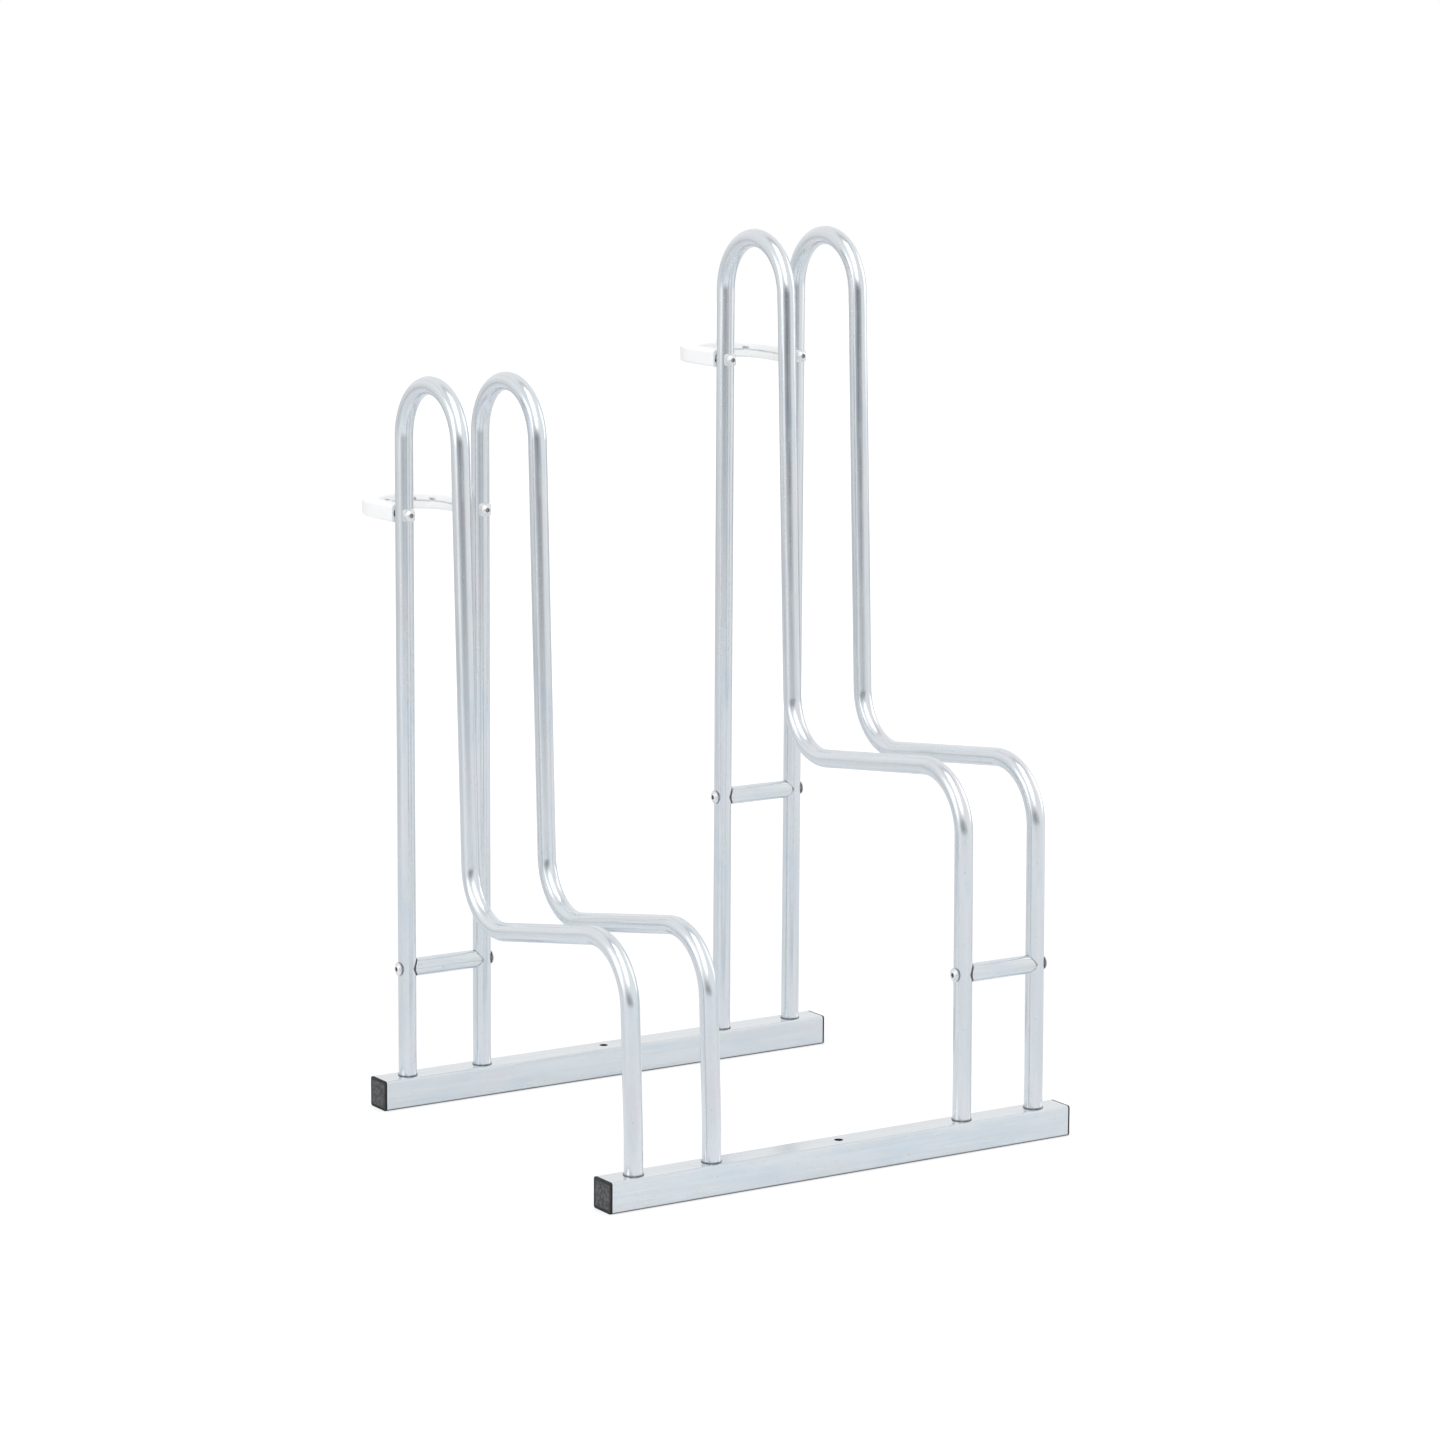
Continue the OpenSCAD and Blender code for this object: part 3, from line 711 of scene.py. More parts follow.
def zinc_finish(name, on_tube, seed):
    """Blue-bright zinc plating: faint coloured clouds, drawn streaks and dull specks.

    A bar has a painted contact shadow along its lowest edge, where it meets the floor. A tube's pattern follows its
    skin.
    """
    tones = bpy.context.scene.rack_colours
    made, tree, shader = new_finish(name)
    place = add(tree, "ShaderNodeAttribute", attribute_name="skin").outputs["Vector"] if on_tube else object_place(tree)
    place = vectors(tree, "ADD", place, (seed * 0.37, seed * 0.11, seed * 0.23))[0]

    def stretched(scale, detail, roughness=0.5):
        """Noise on the plating, stretched by a different factor along each axis."""
        return noise(tree, vectors(tree, "MULTIPLY", place, scale)[0], detail, roughness=roughness)

    clouds = stretched((16, 46, 46), 3)
    clouds_two = stretched((24, 70, 60), 2)
    streaks = stretched((9, 330, 330), 4, 0.6)
    drawn = stretched((26, 1500, 1500), 2)
    specks = stretched((420, 420, 420), 1)
    waves = stretched((18, 30, 30) if on_tube else (16, 60, 60), 1)
    base = blend(tree, between(tree, clouds, 0.52, 0.70, 0, 0.75), tuple(tones.zinc), tuple(tones.zinc_blue))
    base = blend(tree, between(tree, clouds, 0.47, 0.33, 0, 0.65), base, tuple(tones.zinc_rose))
    base = blend(tree, between(tree, clouds_two, 0.55, 0.72, 0, 0.55), base, tuple(tones.zinc_green))
    dull = between(tree, specks, 0.70, 0.80)
    shade = sums(tree, "SUBTRACT", between(tree, streaks, 0.3, 0.7, 0.955, 1.03), sums(tree, "MULTIPLY", dull, 0.10))
    # Painted shade: a bar's colour darkens within about two millimetres of the floor, as a painted contact shadow along
    # its lowest edge.
    if not on_tube:
        above_floor = add(tree, "ShaderNodeSeparateXYZ", {0: object_place(tree)}).outputs["Z"]
        shade = sums(tree, "MULTIPLY", shade, between(tree, above_floor, 0.0009, 0.0023, 0.18, 1.0))
    base = add(tree, "ShaderNodeVectorMath", {0: base, 3: shade}, operation="SCALE").outputs[0]
    gloss = tones.zinc_gloss
    rough = sums(tree, "ADD", between(tree, streaks, 0.25, 0.75, gloss - 0.04, gloss + 0.05),
                 between(tree, clouds_two, 0.4, 0.7, 0, 0.05), sums(tree, "MULTIPLY", dull, 0.15))
    height = sums(tree, "ADD", sums(tree, "MULTIPLY", waves, 0.5), sums(tree, "MULTIPLY", drawn, 0.015),
                  sums(tree, "MULTIPLY", streaks, 0.03))
    shader.inputs["Metallic"].default_value = 1
    dress(tree, shader, base, rough, height, 0.35, 0.00022)
    return made


def black_finish(name, side_tone, face_tone):
    """Black moulded plastic with a fine leathery grain, of a paler tone where the attribute for the paler part is 1: a
    cap's end face, and the painted light on a spacer's right ring.
    """
    made, tree, shader = new_finish(name)
    place = object_place(tree)
    grain = add(tree, "ShaderNodeTexVoronoi", {"Vector": place, "Scale": 1600.0, "Randomness": 1.0},
                feature="SMOOTH_F1").outputs["Distance"]
    cloud = noise(tree, place, 4, 260, 0.65)
    # The paler tone: a cap's end face, and on the rings the painted light on a spacer's right ring.
    pale_part = blend(tree, between(tree, cloud, 0.44, 0.60), scaled(face_tone, 0.6), scaled(face_tone, 1.8))
    base = blend(tree, marked_with(tree, "pale_face_and_lit_ring"), tuple(side_tone), pale_part)
    height = sums(tree, "ADD", sums(tree, "MULTIPLY", grain, 0.7), sums(tree, "MULTIPLY", cloud, 0.5))
    shader.inputs["Specular IOR Level"].default_value = 0.3
    dress(tree, shader, base, between(tree, cloud, 0.3, 0.7, 0.42, 0.62), height, 0.5, 0.00012)
    return made


def bow_finish(name, white):
    """White moulded plastic, half gloss, with a slight unevenness from the mould."""
    made, tree, shader = new_finish(name)
    place = object_place(tree)
    cloud = noise(tree, place, 3, 45)
    fine = noise(tree, place, 3, 900)
    warm = (white[0] * 0.992, white[1] * 0.986, white[2] * 0.972)
    base = blend(tree, between(tree, cloud, 0.35, 0.7), tuple(white), warm)
    height = sums(tree, "ADD", sums(tree, "MULTIPLY", cloud, 0.6), sums(tree, "MULTIPLY", fine, 0.05))
    dress(tree, shader, base, between(tree, cloud, 0.3, 0.7, 0.30, 0.42), height, 0.25, 0.0003)
    return made


def metal_finish(name, tone, low, high, grain):
    """Turned or cast metal with fine marks and slightly uneven gloss, darkened by painted shade where the attribute
    recess is 1.

    A copy that faces left, such as a screw at a pair's right side, gets less of that painted shade, as a copy that
    stands more lit.
    """
    made, tree, shader = new_finish(name)
    place = object_place(tree)
    cloud = noise(tree, place, 3, 220)
    fine = noise(tree, place, 3, grain)
    facing = add(tree, "ShaderNodeAttribute", attribute_name="facing").outputs["Vector"]
    across = add(tree, "ShaderNodeSeparateXYZ", {0: facing}).outputs["X"]
    # Painted shade: sockets and flange edges are darkened through the attribute recess, and less so on copies that face
    # left, which stand more lit.
    recess = sums(tree, "MULTIPLY", between(tree, across, -1.0, -0.9, 0.3, 1.0), marked_with(tree, "recess"))
    base = blend(tree, between(tree, cloud, 0.3, 0.7), tuple(tone), scaled(tone, 0.86))
    base = blend(tree, sums(tree, "MULTIPLY", recess, 0.8), base, scaled(tone, 0.1))
    rough = sums(tree, "ADD", between(tree, fine, 0.3, 0.7, low, high), sums(tree, "MULTIPLY", recess, 0.4))
    shader.inputs["Metallic"].default_value = 1
    dress(tree, shader, base, rough, fine, 0.3, 0.00005)
    return made


def surface(name):
    """A finish by its name, made once and used by several pieces."""
    tones = bpy.context.scene.rack_colours
    maker, values = {
        "bar_zinc": (zinc_finish, (False, 1)),
        "tube_zinc": (zinc_finish, (True, 2)),
        "cap_plastic": (black_finish, (tones.cap, tones.cap_face)),
        "ring_plastic": (black_finish, (tones.ring, tones.ring_right)),
        "bow_plastic": (bow_finish, (tones.bow,)),
        "bright_steel": (metal_finish, (tones.screw, 0.38, 0.5, 1500)),
        "dark_iron": (metal_finish, (tones.collar, 0.2, 0.34, 1800)),
        "turned_brass": (metal_finish, (tones.brass, 0.25, 0.4, 1500)),
    }[name]
    return bpy.data.materials.get(name) or maker(name, *values)


# Operators

# How far a cutter runs past the surface that it cuts
OVERCUT = 0.005
# How far from a hole's middle the nearest rings of points go, on a bar and on a hoop
BESIDE_HOLE = 0.011
BESIDE_SCREW = 0.0046


class RACK_OT_bars(bpy.types.Operator):
    """Build the two square floor bars with their holes"""

    bl_idname = "rack.bars"
    bl_label = "Floor bars"

    def execute(self, context):
        bars, feet = context.scene.rack_bars, feet_along()
        outline = [(x, y, 0) for x, y in rounded_rectangle(bars.size, bars.size, bars.corner, 8)]
        for side, where in BARS:
            y = side * bars.spacing / 2
            stops = sorted({-bars.reach / 2, bars.reach / 2} | {
                place + half for place in [0, *feet] for half in (-BESIDE_HOLE, BESIDE_HOLE)})
            worker = chain_object("bar_path", [(x, y, bars.size / 2) for x in stops])
            section = chain_object("bar_section", outline, closed=True)
            use_tree(worker, tree_named("swept_section", section_tree),
                     section=section, closed_ends=False, finish=surface("bar_zinc"))
            hollow_out(worker, bars.wall)
            top = bars.size + OVERCUT
            cutters = [rod_cutter("anchor", (0, y, -OVERCUT), (0, y, top), bars.anchor_hole)]
            for x in feet:
                cutters.append(rod_cutter("foot", (x, y, bars.size / 2), (x, y, top), screw_hole()))
                cutters.append(rod_cutter("access", (x, y, -OVERCUT), (x, y, bars.wall + OVERCUT), bars.access_hole))
            holes = joined("bar_holes", cutters)
            drill(worker, holes, "Holes")
            finished(worker, where + "_bar_tube", where + "_bar", level=True)
            bpy.data.objects.remove(section)
            bpy.data.objects.remove(holes)
        return {"FINISHED"}


def cap_pattern():
    """A cap with its plate facing up: a dished plate with a rounded edge, and a hollow ribbed plug below it."""
    scene = bpy.context.scene
    bars, gap = scene.rack_bars, scene.rack_screws.plug_gap
    inside = bars.size - 2 * bars.wall - 2 * gap
    core = inside - bars.cap_wall
    hollow = core - 2 * bars.cap_wall
    plug_corner = bars.corner - bars.wall
    bevel, seam, rim = 0.0004, 0.00002, 0.0001
    levels = [(hollow, bevel, 0), (hollow, bevel, -bars.cap_depth), (core - 1.5 * bevel, plug_corner, -bars.cap_depth),
              (core, plug_corner, -bars.cap_depth + bevel)]
    for i in (3, 2, 1):
        middle = -i * bars.cap_depth / 4
        half = bars.cap_rib / 2
        levels += [(core, plug_corner, middle - half), (inside, plug_corner, middle - half / 3),
                   (inside, plug_corner, middle + half / 3), (core, plug_corner, middle + half)]
    edge, top = bars.cap_edge, bars.cap_plate
    levels += [(core, plug_corner, seam), (bars.size - bevel, bars.corner, seam), (bars.size, bars.corner, 0.0003)]
    for turn in quarter(6):
        levels.append((bars.size - 2 * edge * (1 - math.cos(turn)), bars.corner - edge * (1 - math.cos(turn)) * 0.5,
                       top - rim - edge * (1 - math.sin(turn))))
    face = bars.size - 2 * edge
    for part, drop in ((0.92, 0.00016), (0.86, 0.00022), (0.80, 0.00015), (0.6, 0.00006), (0.3, 0.00001)):
        levels.append((face * part, bars.corner * part, top - drop))
    made = skin_rings("cap_pattern", [
        [Vector((x, y, z)) for x, y in rounded_rectangle(size, size, max(corner, 0.0002))]
        for size, corner, z in levels])
    # The inner part of each cap's end face is marked for the paler tone.
    pale_part = face * 0.41
    mark(made, "pale_face_and_lit_ring", [
        float(v.co.z > top / 2 and max(abs(v.co.x), abs(v.co.y)) < pale_part) for v in made.data.vertices])
    return made


class RACK_OT_caps(bpy.types.Operator):
    """Put the four black caps into the bars' ends"""

    bl_idname = "rack.caps"
    bl_label = "End caps"

    def execute(self, context):
        bars = context.scene.rack_bars
        pattern = cap_pattern()
        for y_side, where in BARS:
            for x_side, end in ENDS:
                name = f"{where}_cap_{end}"
                place = (x_side * bars.reach / 2, y_side * bars.spacing / 2, bars.size / 2)
                copies(name + "_plug", pattern, [(place, (x_side, 0, 0))], name, "cap_plastic", turn=0.0)
        bpy.data.objects.remove(pattern)
        return {"FINISHED"}


class RACK_OT_hoops(bpy.types.Operator):
    """Bend the four hoops from round tube"""

    bl_idname = "rack.hoops"
    bl_label = "Hoops"

    def execute(self, context):
        scene = context.scene
        bars, tubes, screws = scene.rack_bars, scene.rack_tubes, scene.rack_screws
        rear, foot, reach = bars.spacing / 2, bars.size + screws.collar, tubes.diameter
        for which in PAIRS:
            pair = pair_sizes(which)
            top = pair.height - tubes.diameter / 2
            crown = Vector((rear - tubes.top_bend * (1 + math.tan(math.pi / 4 - tubes.upper_lean / 2)), top))
            nose = Vector((leg_place(pair, pair.step), pair.step))
            away = nose - crown
            down = -(away.x * math.sin(pair.step_angle) + away.y * math.cos(pair.step_angle)) / math.cos(
                pair.step_angle - tubes.upper_lean)
            knee = crown - down * Vector((math.sin(tubes.upper_lean), math.cos(tubes.upper_lean)))
            corners = [Vector((rear, foot)), Vector((rear, top)), crown, knee, nose,
                       Vector((-rear, foot + tubes.foot_rise)), Vector((-rear, foot))]
            radii = [0, tubes.top_bend, tubes.top_bend, tubes.knee_bend, tubes.step_bend, tubes.foot_bend, 0]
            bow = Vector((rear, pair.height - pair.bow_drop))
            across = [Vector((rear, pair.rear_spacer))]
            if pair.front_spacer:
                across.append(Vector((leg_place(pair, pair.front_spacer), pair.front_spacer)))
            line = bend_chain(corners, radii, [bow, *across], BESIDE_SCREW)
            for side, end in ENDS:
                x = pair_middle(which) + side * hoop_side()
                worker = chain_object("hoop_path", [(x, p.x, p.y) for p in line])
                use_tree(worker, tree_named("bent_tube", tube_tree),
                         diameter=tubes.diameter, finish=surface("tube_zinc"))
                hollow_out(worker, tubes.wall)
                cutters = [rod_cutter("bow_hole", (x, bow.x - reach, bow.y), (x, bow.x + reach, bow.y), screw_hole())]
                for spot in across:
                    cutters.append(rod_cutter(
                        "spacer_hole", (x - reach, spot.x, spot.y), (x + reach, spot.x, spot.y), screw_hole()))
                holes = joined("hoop_holes", cutters)
                drill(worker, holes, "Screw holes")
                finished(worker, f"{which}_hoop_{end}_tube", f"{which}_hoop_{end}")
                bpy.data.objects.remove(holes)
        return {"FINISHED"}


def spacer_places():
    """Name, middle and lean of each spacer."""
    rear = bpy.context.scene.rack_bars.spacing / 2
    places = []
    for which, first in (("low", "low_spacer"), ("tall", "tall_rear_spacer")):
        pair, x = pair_sizes(which), pair_middle(which)
        places.append((first, Vector((x, rear, pair.rear_spacer)), 0.0))
        if pair.front_spacer:
            spot = Vector((x, leg_place(pair, pair.front_spacer), pair.front_spacer))
            places.append((which + "_front_spacer", spot, pair.leg_lean))
    return places


def saddle_ring(radius, saddle, inset, side, lean):
    """Points round a spacer's axis, an inset short of a round saddle, or at the spacer's middle without one."""
    points = []
    for k in range(TUBE_POINTS):
        turn = 2 * math.pi * k / TUBE_POINTS
        y, z = radius * math.sin(turn), radius * math.cos(turn)
        off = (y - z * math.tan(lean)) * math.cos(lean)
        end = hoop_side() - math.sqrt(saddle * saddle - off * off)
        points.append(Vector((0.0 if inset is None else side * (end - inset), y, z)))
    return points


class RACK_OT_spacers(bpy.types.Operator):
    """Cut the spacer tubes with a saddle at both ends"""

    bl_idname = "rack.spacers"
    bl_label = "Spacers"

    def execute(self, context):
        tubes = context.scene.rack_tubes
        outer, inner = tubes.diameter / 2, tubes.diameter / 2 - tubes.wall
        saddle = outer + 2 * tubes.saddle_gap + tubes.end_ring
        rounding = [(0.00034, 0.0), (0.00016, 0.00022), (0.00007, 0.0006), (0.00002, 0.0011), (0.0, 0.0017),
                    (0.0, 0.003)]
        plan = [(outer - drop, inset, -1) for drop, inset in rounding] + [(outer, None, 1)]
        plan += [(outer - drop, inset, 1) for drop, inset in reversed(rounding)]
        plan += [(inner, 0.0, 1), (inner, None, 1), (inner, 0.0, -1)]
        for name, middle, lean in spacer_places():
            rings = [saddle_ring(radius, saddle, inset, side, lean) for radius, inset, side in plan]
            worker = skin_rings("spacer", [[middle + p for p in points] for points in rings], ends="joined")
            mark(worker, "skin", [c for v in worker.data.vertices for c in (v.co - middle)], "FLOAT_VECTOR")
            worker.data.materials.append(surface("tube_zinc"))
            finished(worker, name + "_tube", name)
        return {"FINISHED"}


class RACK_OT_rings(bpy.types.Operator):
    """Put the thin rings between the spacers and the hoops: black at the left, painted shade for the shadowed gap
    there, and paler at the right, painted light
    """

    bl_idname = "rack.rings"
    bl_label = "Spacer rings"

    def execute(self, context):
        tubes = context.scene.rack_tubes
        near = tubes.diameter / 2 + tubes.saddle_gap
        far = near + tubes.end_ring
        outer, inner = tubes.diameter / 2 - tubes.ring_recess, tubes.diameter / 2 - tubes.wall
        bevel = 0.00015
        plan = [(inner, near, 0.0), (outer - bevel, near, 0.0), (outer, near, bevel), (outer, far, -bevel),
                (outer - bevel, far, 0.0), (inner, far, 0.0)]
        for name, middle, lean in spacer_places():
            parts = []
            for side in SIDES:
                rings = [saddle_ring(radius, reach, inset, side, lean) for radius, reach, inset in plan]
                parts.append(skin_rings("ring", [[middle + p for p in points] for points in rings], ends="joined"))
            worker = joined("rings", parts)
            # Painted light: the ring at a spacer's right end is marked for the paler tone, and the left ring keeps the
            # dark tone as painted shade.
            mark(worker, "pale_face_and_lit_ring", [float(v.co.x > middle.x) for v in worker.data.vertices])
            worker.data.materials.append(surface("ring_plastic"))
            finished(worker, name + "_ring_pair", name + "_rings")
        return {"FINISHED"}


def bow_section(bows):
    """Outline of a bow's section with its groove in the side at -x, its lips slightly rounded."""
    outline = rounded_rectangle(bows.width, bows.height, bows.edge, 7)
    half, deep, lip, bevel = bows.groove / 2, bows.groove_depth, 0.0004, 0.0003
    wall = -bows.width / 2
    groove = [(wall + lip * (1 - math.cos(turn)), half + lip * (1 - math.sin(turn))) for turn in quarter(3)]
    groove += [(wall + deep - bevel, half), (wall + deep, half - bevel)]
    lower = [(x, -y) for x, y in reversed(groove)]
    cut = len(outline) // 2
    return [(x, y, 0) for x, y in outline[:cut] + groove + lower + outline[cut:]]


class RACK_OT_bows(bpy.types.Operator):
    """Sweep the two white tyre bows and cut their pockets"""

    bl_idname = "rack.bows"
    bl_label = "Tyre bows"

    def execute(self, context):
        scene = context.scene
        bars, tubes, bows, screws = scene.rack_bars, scene.rack_tubes, scene.rack_bows, scene.rack_screws
        radius, side = hoop_side() + bows.bulge, hoop_side()
        margin, arm_steps, bend_steps = 0.001, 8, 72
        lean = math.atan2(bows.arm, side) - math.acos(radius / math.hypot(side, bows.arm))
        arm = bows.arm * math.cos(lean) - side * math.sin(lean) + bows.width * math.sin(lean) + margin
        line = []
        for k in range(arm_steps + 1):
            back = arm * (1 - k / arm_steps)
            line.append(Vector((radius * math.cos(lean) - back * math.sin(lean),
                                bows.arm - radius * math.sin(lean) - back * math.cos(lean), 0)))
        for k in range(1, bend_steps):
            turn = -lean + (math.pi + 2 * lean) * k / bend_steps
            line.append(Vector((radius * math.cos(turn), bows.arm + radius * math.sin(turn), 0)))
        line += [Vector((-p.x, p.y, 0)) for p in reversed(line[:arm_steps + 1])]
        section = chain_object("bow_section", bow_section(bows), closed=True)
        for which in PAIRS:
            pair = pair_sizes(which)
            start = Vector((pair_middle(which), bars.spacing / 2 + tubes.diameter / 2 + screws.seat_gap,
                            pair.height - pair.bow_drop))
            worker = chain_object("bow_path", [start + p for p in line])
            use_tree(worker, tree_named("swept_section", section_tree),
                     section=section, closed_ends=True, finish=surface("bow_plastic"))
            middle = start + Vector((0, bows.arm, 0))
            inner, depth, low = radius - bows.width / 2, bows.pocket_depth + margin, bows.groove / 4
            outline = rounded_rectangle(depth, bows.pocket_width, 0.0008, 3)
            away = inner - margin + depth / 2
            cutters = []
            for turn in (bows.near_pocket, bows.far_pocket):
                for hand in SIDES:
                    place = Matrix.Translation(middle) @ Matrix.Rotation(math.pi / 2 + hand * turn, 4, "Z")
                    cutters.append(skin_rings("pocket", [
                        [place @ Vector((away + x, y, z)) for x, y in outline]
                        for z in (low, low + bows.pocket_height + bows.groove / 4)]))
            for hand in SIDES:
                foot = Matrix.Translation(start + Vector((hand * side, 0, 0))) @ Matrix.Rotation(-math.pi / 2, 4, "X")
                bore = bows.hollow_depth + bows.insert_length + screws.bow_screw / 4
                bore_radius = bows.insert_diameter / 2 + screws.plug_gap
                cutters.append(skin_rings("hollow", [
                    [foot @ p for p in circle_points(r, z)] for r, z in (
                        (bows.hollow / 2, -margin), (bows.hollow / 2, bows.hollow_depth),
                        (bore_radius, bows.hollow_depth), (bore_radius, bore))]))
            wide = radius + bows.width
            block = [Vector((x * wide, y, 0)) for x, y in ((-1, -wide), (1, -wide), (1, 0), (-1, 0))]
            ends = skin_rings("ends", [[start + p + Vector((0, 0, z * bows.height)) for p in block] for z in (-1, 1)])
            recesses = joined("bow_recesses", cutters)
            drill(worker, ends, "Level ends")
            drill(worker, recesses, "Pockets and hollows")
            finished(worker, which + "_tyre_bow_body", which + "_tyre_bow", level=True)
            bpy.data.objects.remove(ends)
            bpy.data.objects.remove(recesses)
        bpy.data.objects.remove(section)
        return {"FINISHED"}


def screw_pattern(reach, flanged=False):
    """A button-head screw with a hex socket, its shank up from the origin and its head below."""
    screws = bpy.context.scene.rack_screws
    head, tall, shank, pitch = screws.head / 2, screws.head_height, screws.diameter / 2, screws.pitch
    bevel, chamfer, tip = 0.0002, 0.0006, 0.0008
    rim = screws.flange_height if flanged else 0.0005
    mouth = screws.socket / 2 / math.cos(math.pi / 6) + bevel
    plan = [(0.0005, reach), (shank * 0.72, reach), (shank * 0.84, reach - chamfer)]
    threaded, root = min(reach - 0.006, 0.022), shank * 0.82
    turns = int(threaded / pitch)
    for k in range(turns):
        z = reach - tip - k * pitch
        plan += [(shank, z), (shank, z - pitch * 0.15), (root, z - pitch * 0.5), (root, z - pitch * 0.65)]
    plan += [(shank, reach - tip - turns * pitch), (shank, 0.0)]
    if flanged:
        edge, soft = screws.flange / 2, 0.00015
        plan += [(edge - soft, 0.0), (edge, -soft), (edge, soft - rim), (edge - soft, -rim), (edge - 0.0004, -rim)]
    else:
        plan += [(head - bevel, 0.0), (head, -bevel)]
    plan.append((head, -rim))
    for k in range(1, 9):
        rise = k / 9
        plan.append((head - (head - mouth) * rise, -rim - (tall - rim) * math.sin(math.pi / 2 * rise)))
    bottom = screws.socket_depth - tall
    made = skin_rings("screw_pattern", [
        *turned([*plan, (mouth, -tall)]), hexagon_points(screws.socket, 0.0003 - tall),
        hexagon_points(screws.socket, bottom), *turned([(0.0012, bottom), (0.0003, bottom + 0.0004)])])
    # Painted shade: the socket and the flange's outer edge are stored dark in the attribute recess, for the shade that
    # falls in the socket and under the flange.
    socket_painted_shade, flange_painted_shade = 0.8 if flanged else 0.55, 0.5
    dark = []
    for vertex in made.data.vertices:
        out, z = math.hypot(vertex.co.x, vertex.co.y), vertex.co.z
        in_socket = bevel - tall < z < -rim and out < mouth
        on_flange = out > head + 0.0011
        dark.append(socket_painted_shade if in_socket else flange_painted_shade if on_flange else 0.0)
    mark(made, "recess", dark)
    return made


def washer_pattern():
    """A square washer that faces up, hollowed below to a tube along y. The tube's axis is at the origin."""
    tubes, screws = bpy.context.scene.rack_tubes, bpy.context.scene.rack_screws
    hollow = tubes.diameter / 2 + screws.seat_gap
    top = hollow + screws.washer_height
    bore, bevel = screw_hole() / 2, 0.0004
    outline = rounded_rectangle(screws.washer, screws.washer, screws.washer / 6)

    def ring(part, shrink, height=None):
        """Points some part of the way from the bore to the outline, on the hollow or at a height."""
        points = []
        for x, y in outline:
            reach = math.hypot(x, y)
            scale = (bore + (reach - bore) * part) / reach * (1 - shrink / reach)
            rest = math.sqrt(hollow * hollow - (x * scale) ** 2)
            points.append(Vector((x * scale, y * scale, rest if height is None else height)))
        return points

    plan = [ring(k / 5, 0) for k in range(6)]
    plan += [ring(1, 0, top - bevel), ring(1, bevel * 0.3, top - bevel * 0.3), ring(1, bevel, top), ring(0, 0, top)]
    return skin_rings("washer_pattern", plan, ends="joined")


class RACK_OT_screws(bpy.types.Operator):
    """Set the button-head screws of the spacers and the bows, and the screws inside the bars"""

    bl_idname = "rack.screws"
    bl_label = "Screws"

    def execute(self, context):
        scene = context.scene
        bars, screws = scene.rack_bars, scene.rack_screws
        out = scene.rack_tubes.diameter / 2 + screws.seat_gap
        pattern = screw_pattern(screws.spacer_screw, flanged=True)
        for name, middle, _ in spacer_places():
            places = [(middle + Vector((side * (hoop_side() + out), 0, 0)), (-side, 0, 0)) for side in SIDES]
            copies(name + "_screw_pair", pattern, places, name + "_screws", "bright_steel", seed=len(name))
        bpy.data.objects.remove(pattern)
        pattern = screw_pattern(screws.bow_screw)
        seat = bars.spacing / 2 - out - screws.washer_height - screws.seat_gap
        for which in PAIRS:
            copies(which + "_bow_screw_pair", pattern, bow_places(which, seat, (0, 1, 0)), which + "_bow_screws",
                   "bright_steel", seed=len(which))
        bpy.data.objects.remove(pattern)
        pattern = screw_pattern(screws.foot_screw)
        for side, where in BARS:
            places = feet_places(side, bars.size - bars.wall - screws.seat_gap)
            copies(where + "_foot_screw_set", pattern, places, where + "_foot_screws", "bright_steel", seed=5)
        bpy.data.objects.remove(pattern)
        return {"FINISHED"}


class RACK_OT_washers(bpy.types.Operator):
    """Lay the saddle washers under the bows' screw heads"""

    bl_idname = "rack.washers"
    bl_label = "Saddle washers"

    def execute(self, context):
        pattern = washer_pattern()
        for which in PAIRS:
            places = bow_places(which, context.scene.rack_bars.spacing / 2, (0, -1, 0))
            copies(which + "_bow_washer_pair", pattern, places, which + "_bow_washers",
                   "bright_steel", turn=0.0)
        bpy.data.objects.remove(pattern)
        return {"FINISHED"}


class RACK_OT_plugs(bpy.types.Operator):
    """Set the dark plugs into the hoops' feet, with their collars on the bars"""

    bl_idname = "rack.plugs"
    bl_label = "Foot plugs"

    def execute(self, context):
        scene = context.scene
        tubes, screws = scene.rack_tubes, scene.rack_screws
        collar, length_in = tubes.diameter / 2 + screws.collar_lip, screws.plug
        body = tubes.diameter / 2 - tubes.wall - screws.plug_gap
        bore = screws.diameter / 2 + screws.thread_gap
        edge = 0.0004
        plan = [(bore + edge, 0), (collar - edge, 0)]
        plan += [(collar - edge * (1 - math.sin(turn)), edge * (1 - math.cos(turn))) for turn in quarter(3)]
        plan += [(collar - edge * (1 - math.cos(turn)), screws.collar - edge * (1 - math.sin(turn)))
                 for turn in quarter(3)]
        plan.append((body, screws.collar))
        for groove in (0.006, 0.011, 0.016):
            plan += [(body, groove), (body - edge, groove + 0.0006), (body - edge, groove + 0.002),
                     (body, groove + 0.0026)]
        plan += [(body, length_in - 0.001), (body - 2 * edge, length_in), (bore + edge, length_in),
                 (bore, length_in - edge), (bore, edge)]
        pattern = skin_rings("plug_pattern", turned(plan), ends="joined")
        for side, where in BARS:
            copies(where + "_foot_plug_set", pattern, feet_places(side, scene.rack_bars.size), where + "_foot_plugs",
                   "dark_iron", seed=9)
        bpy.data.objects.remove(pattern)
        return {"FINISHED"}


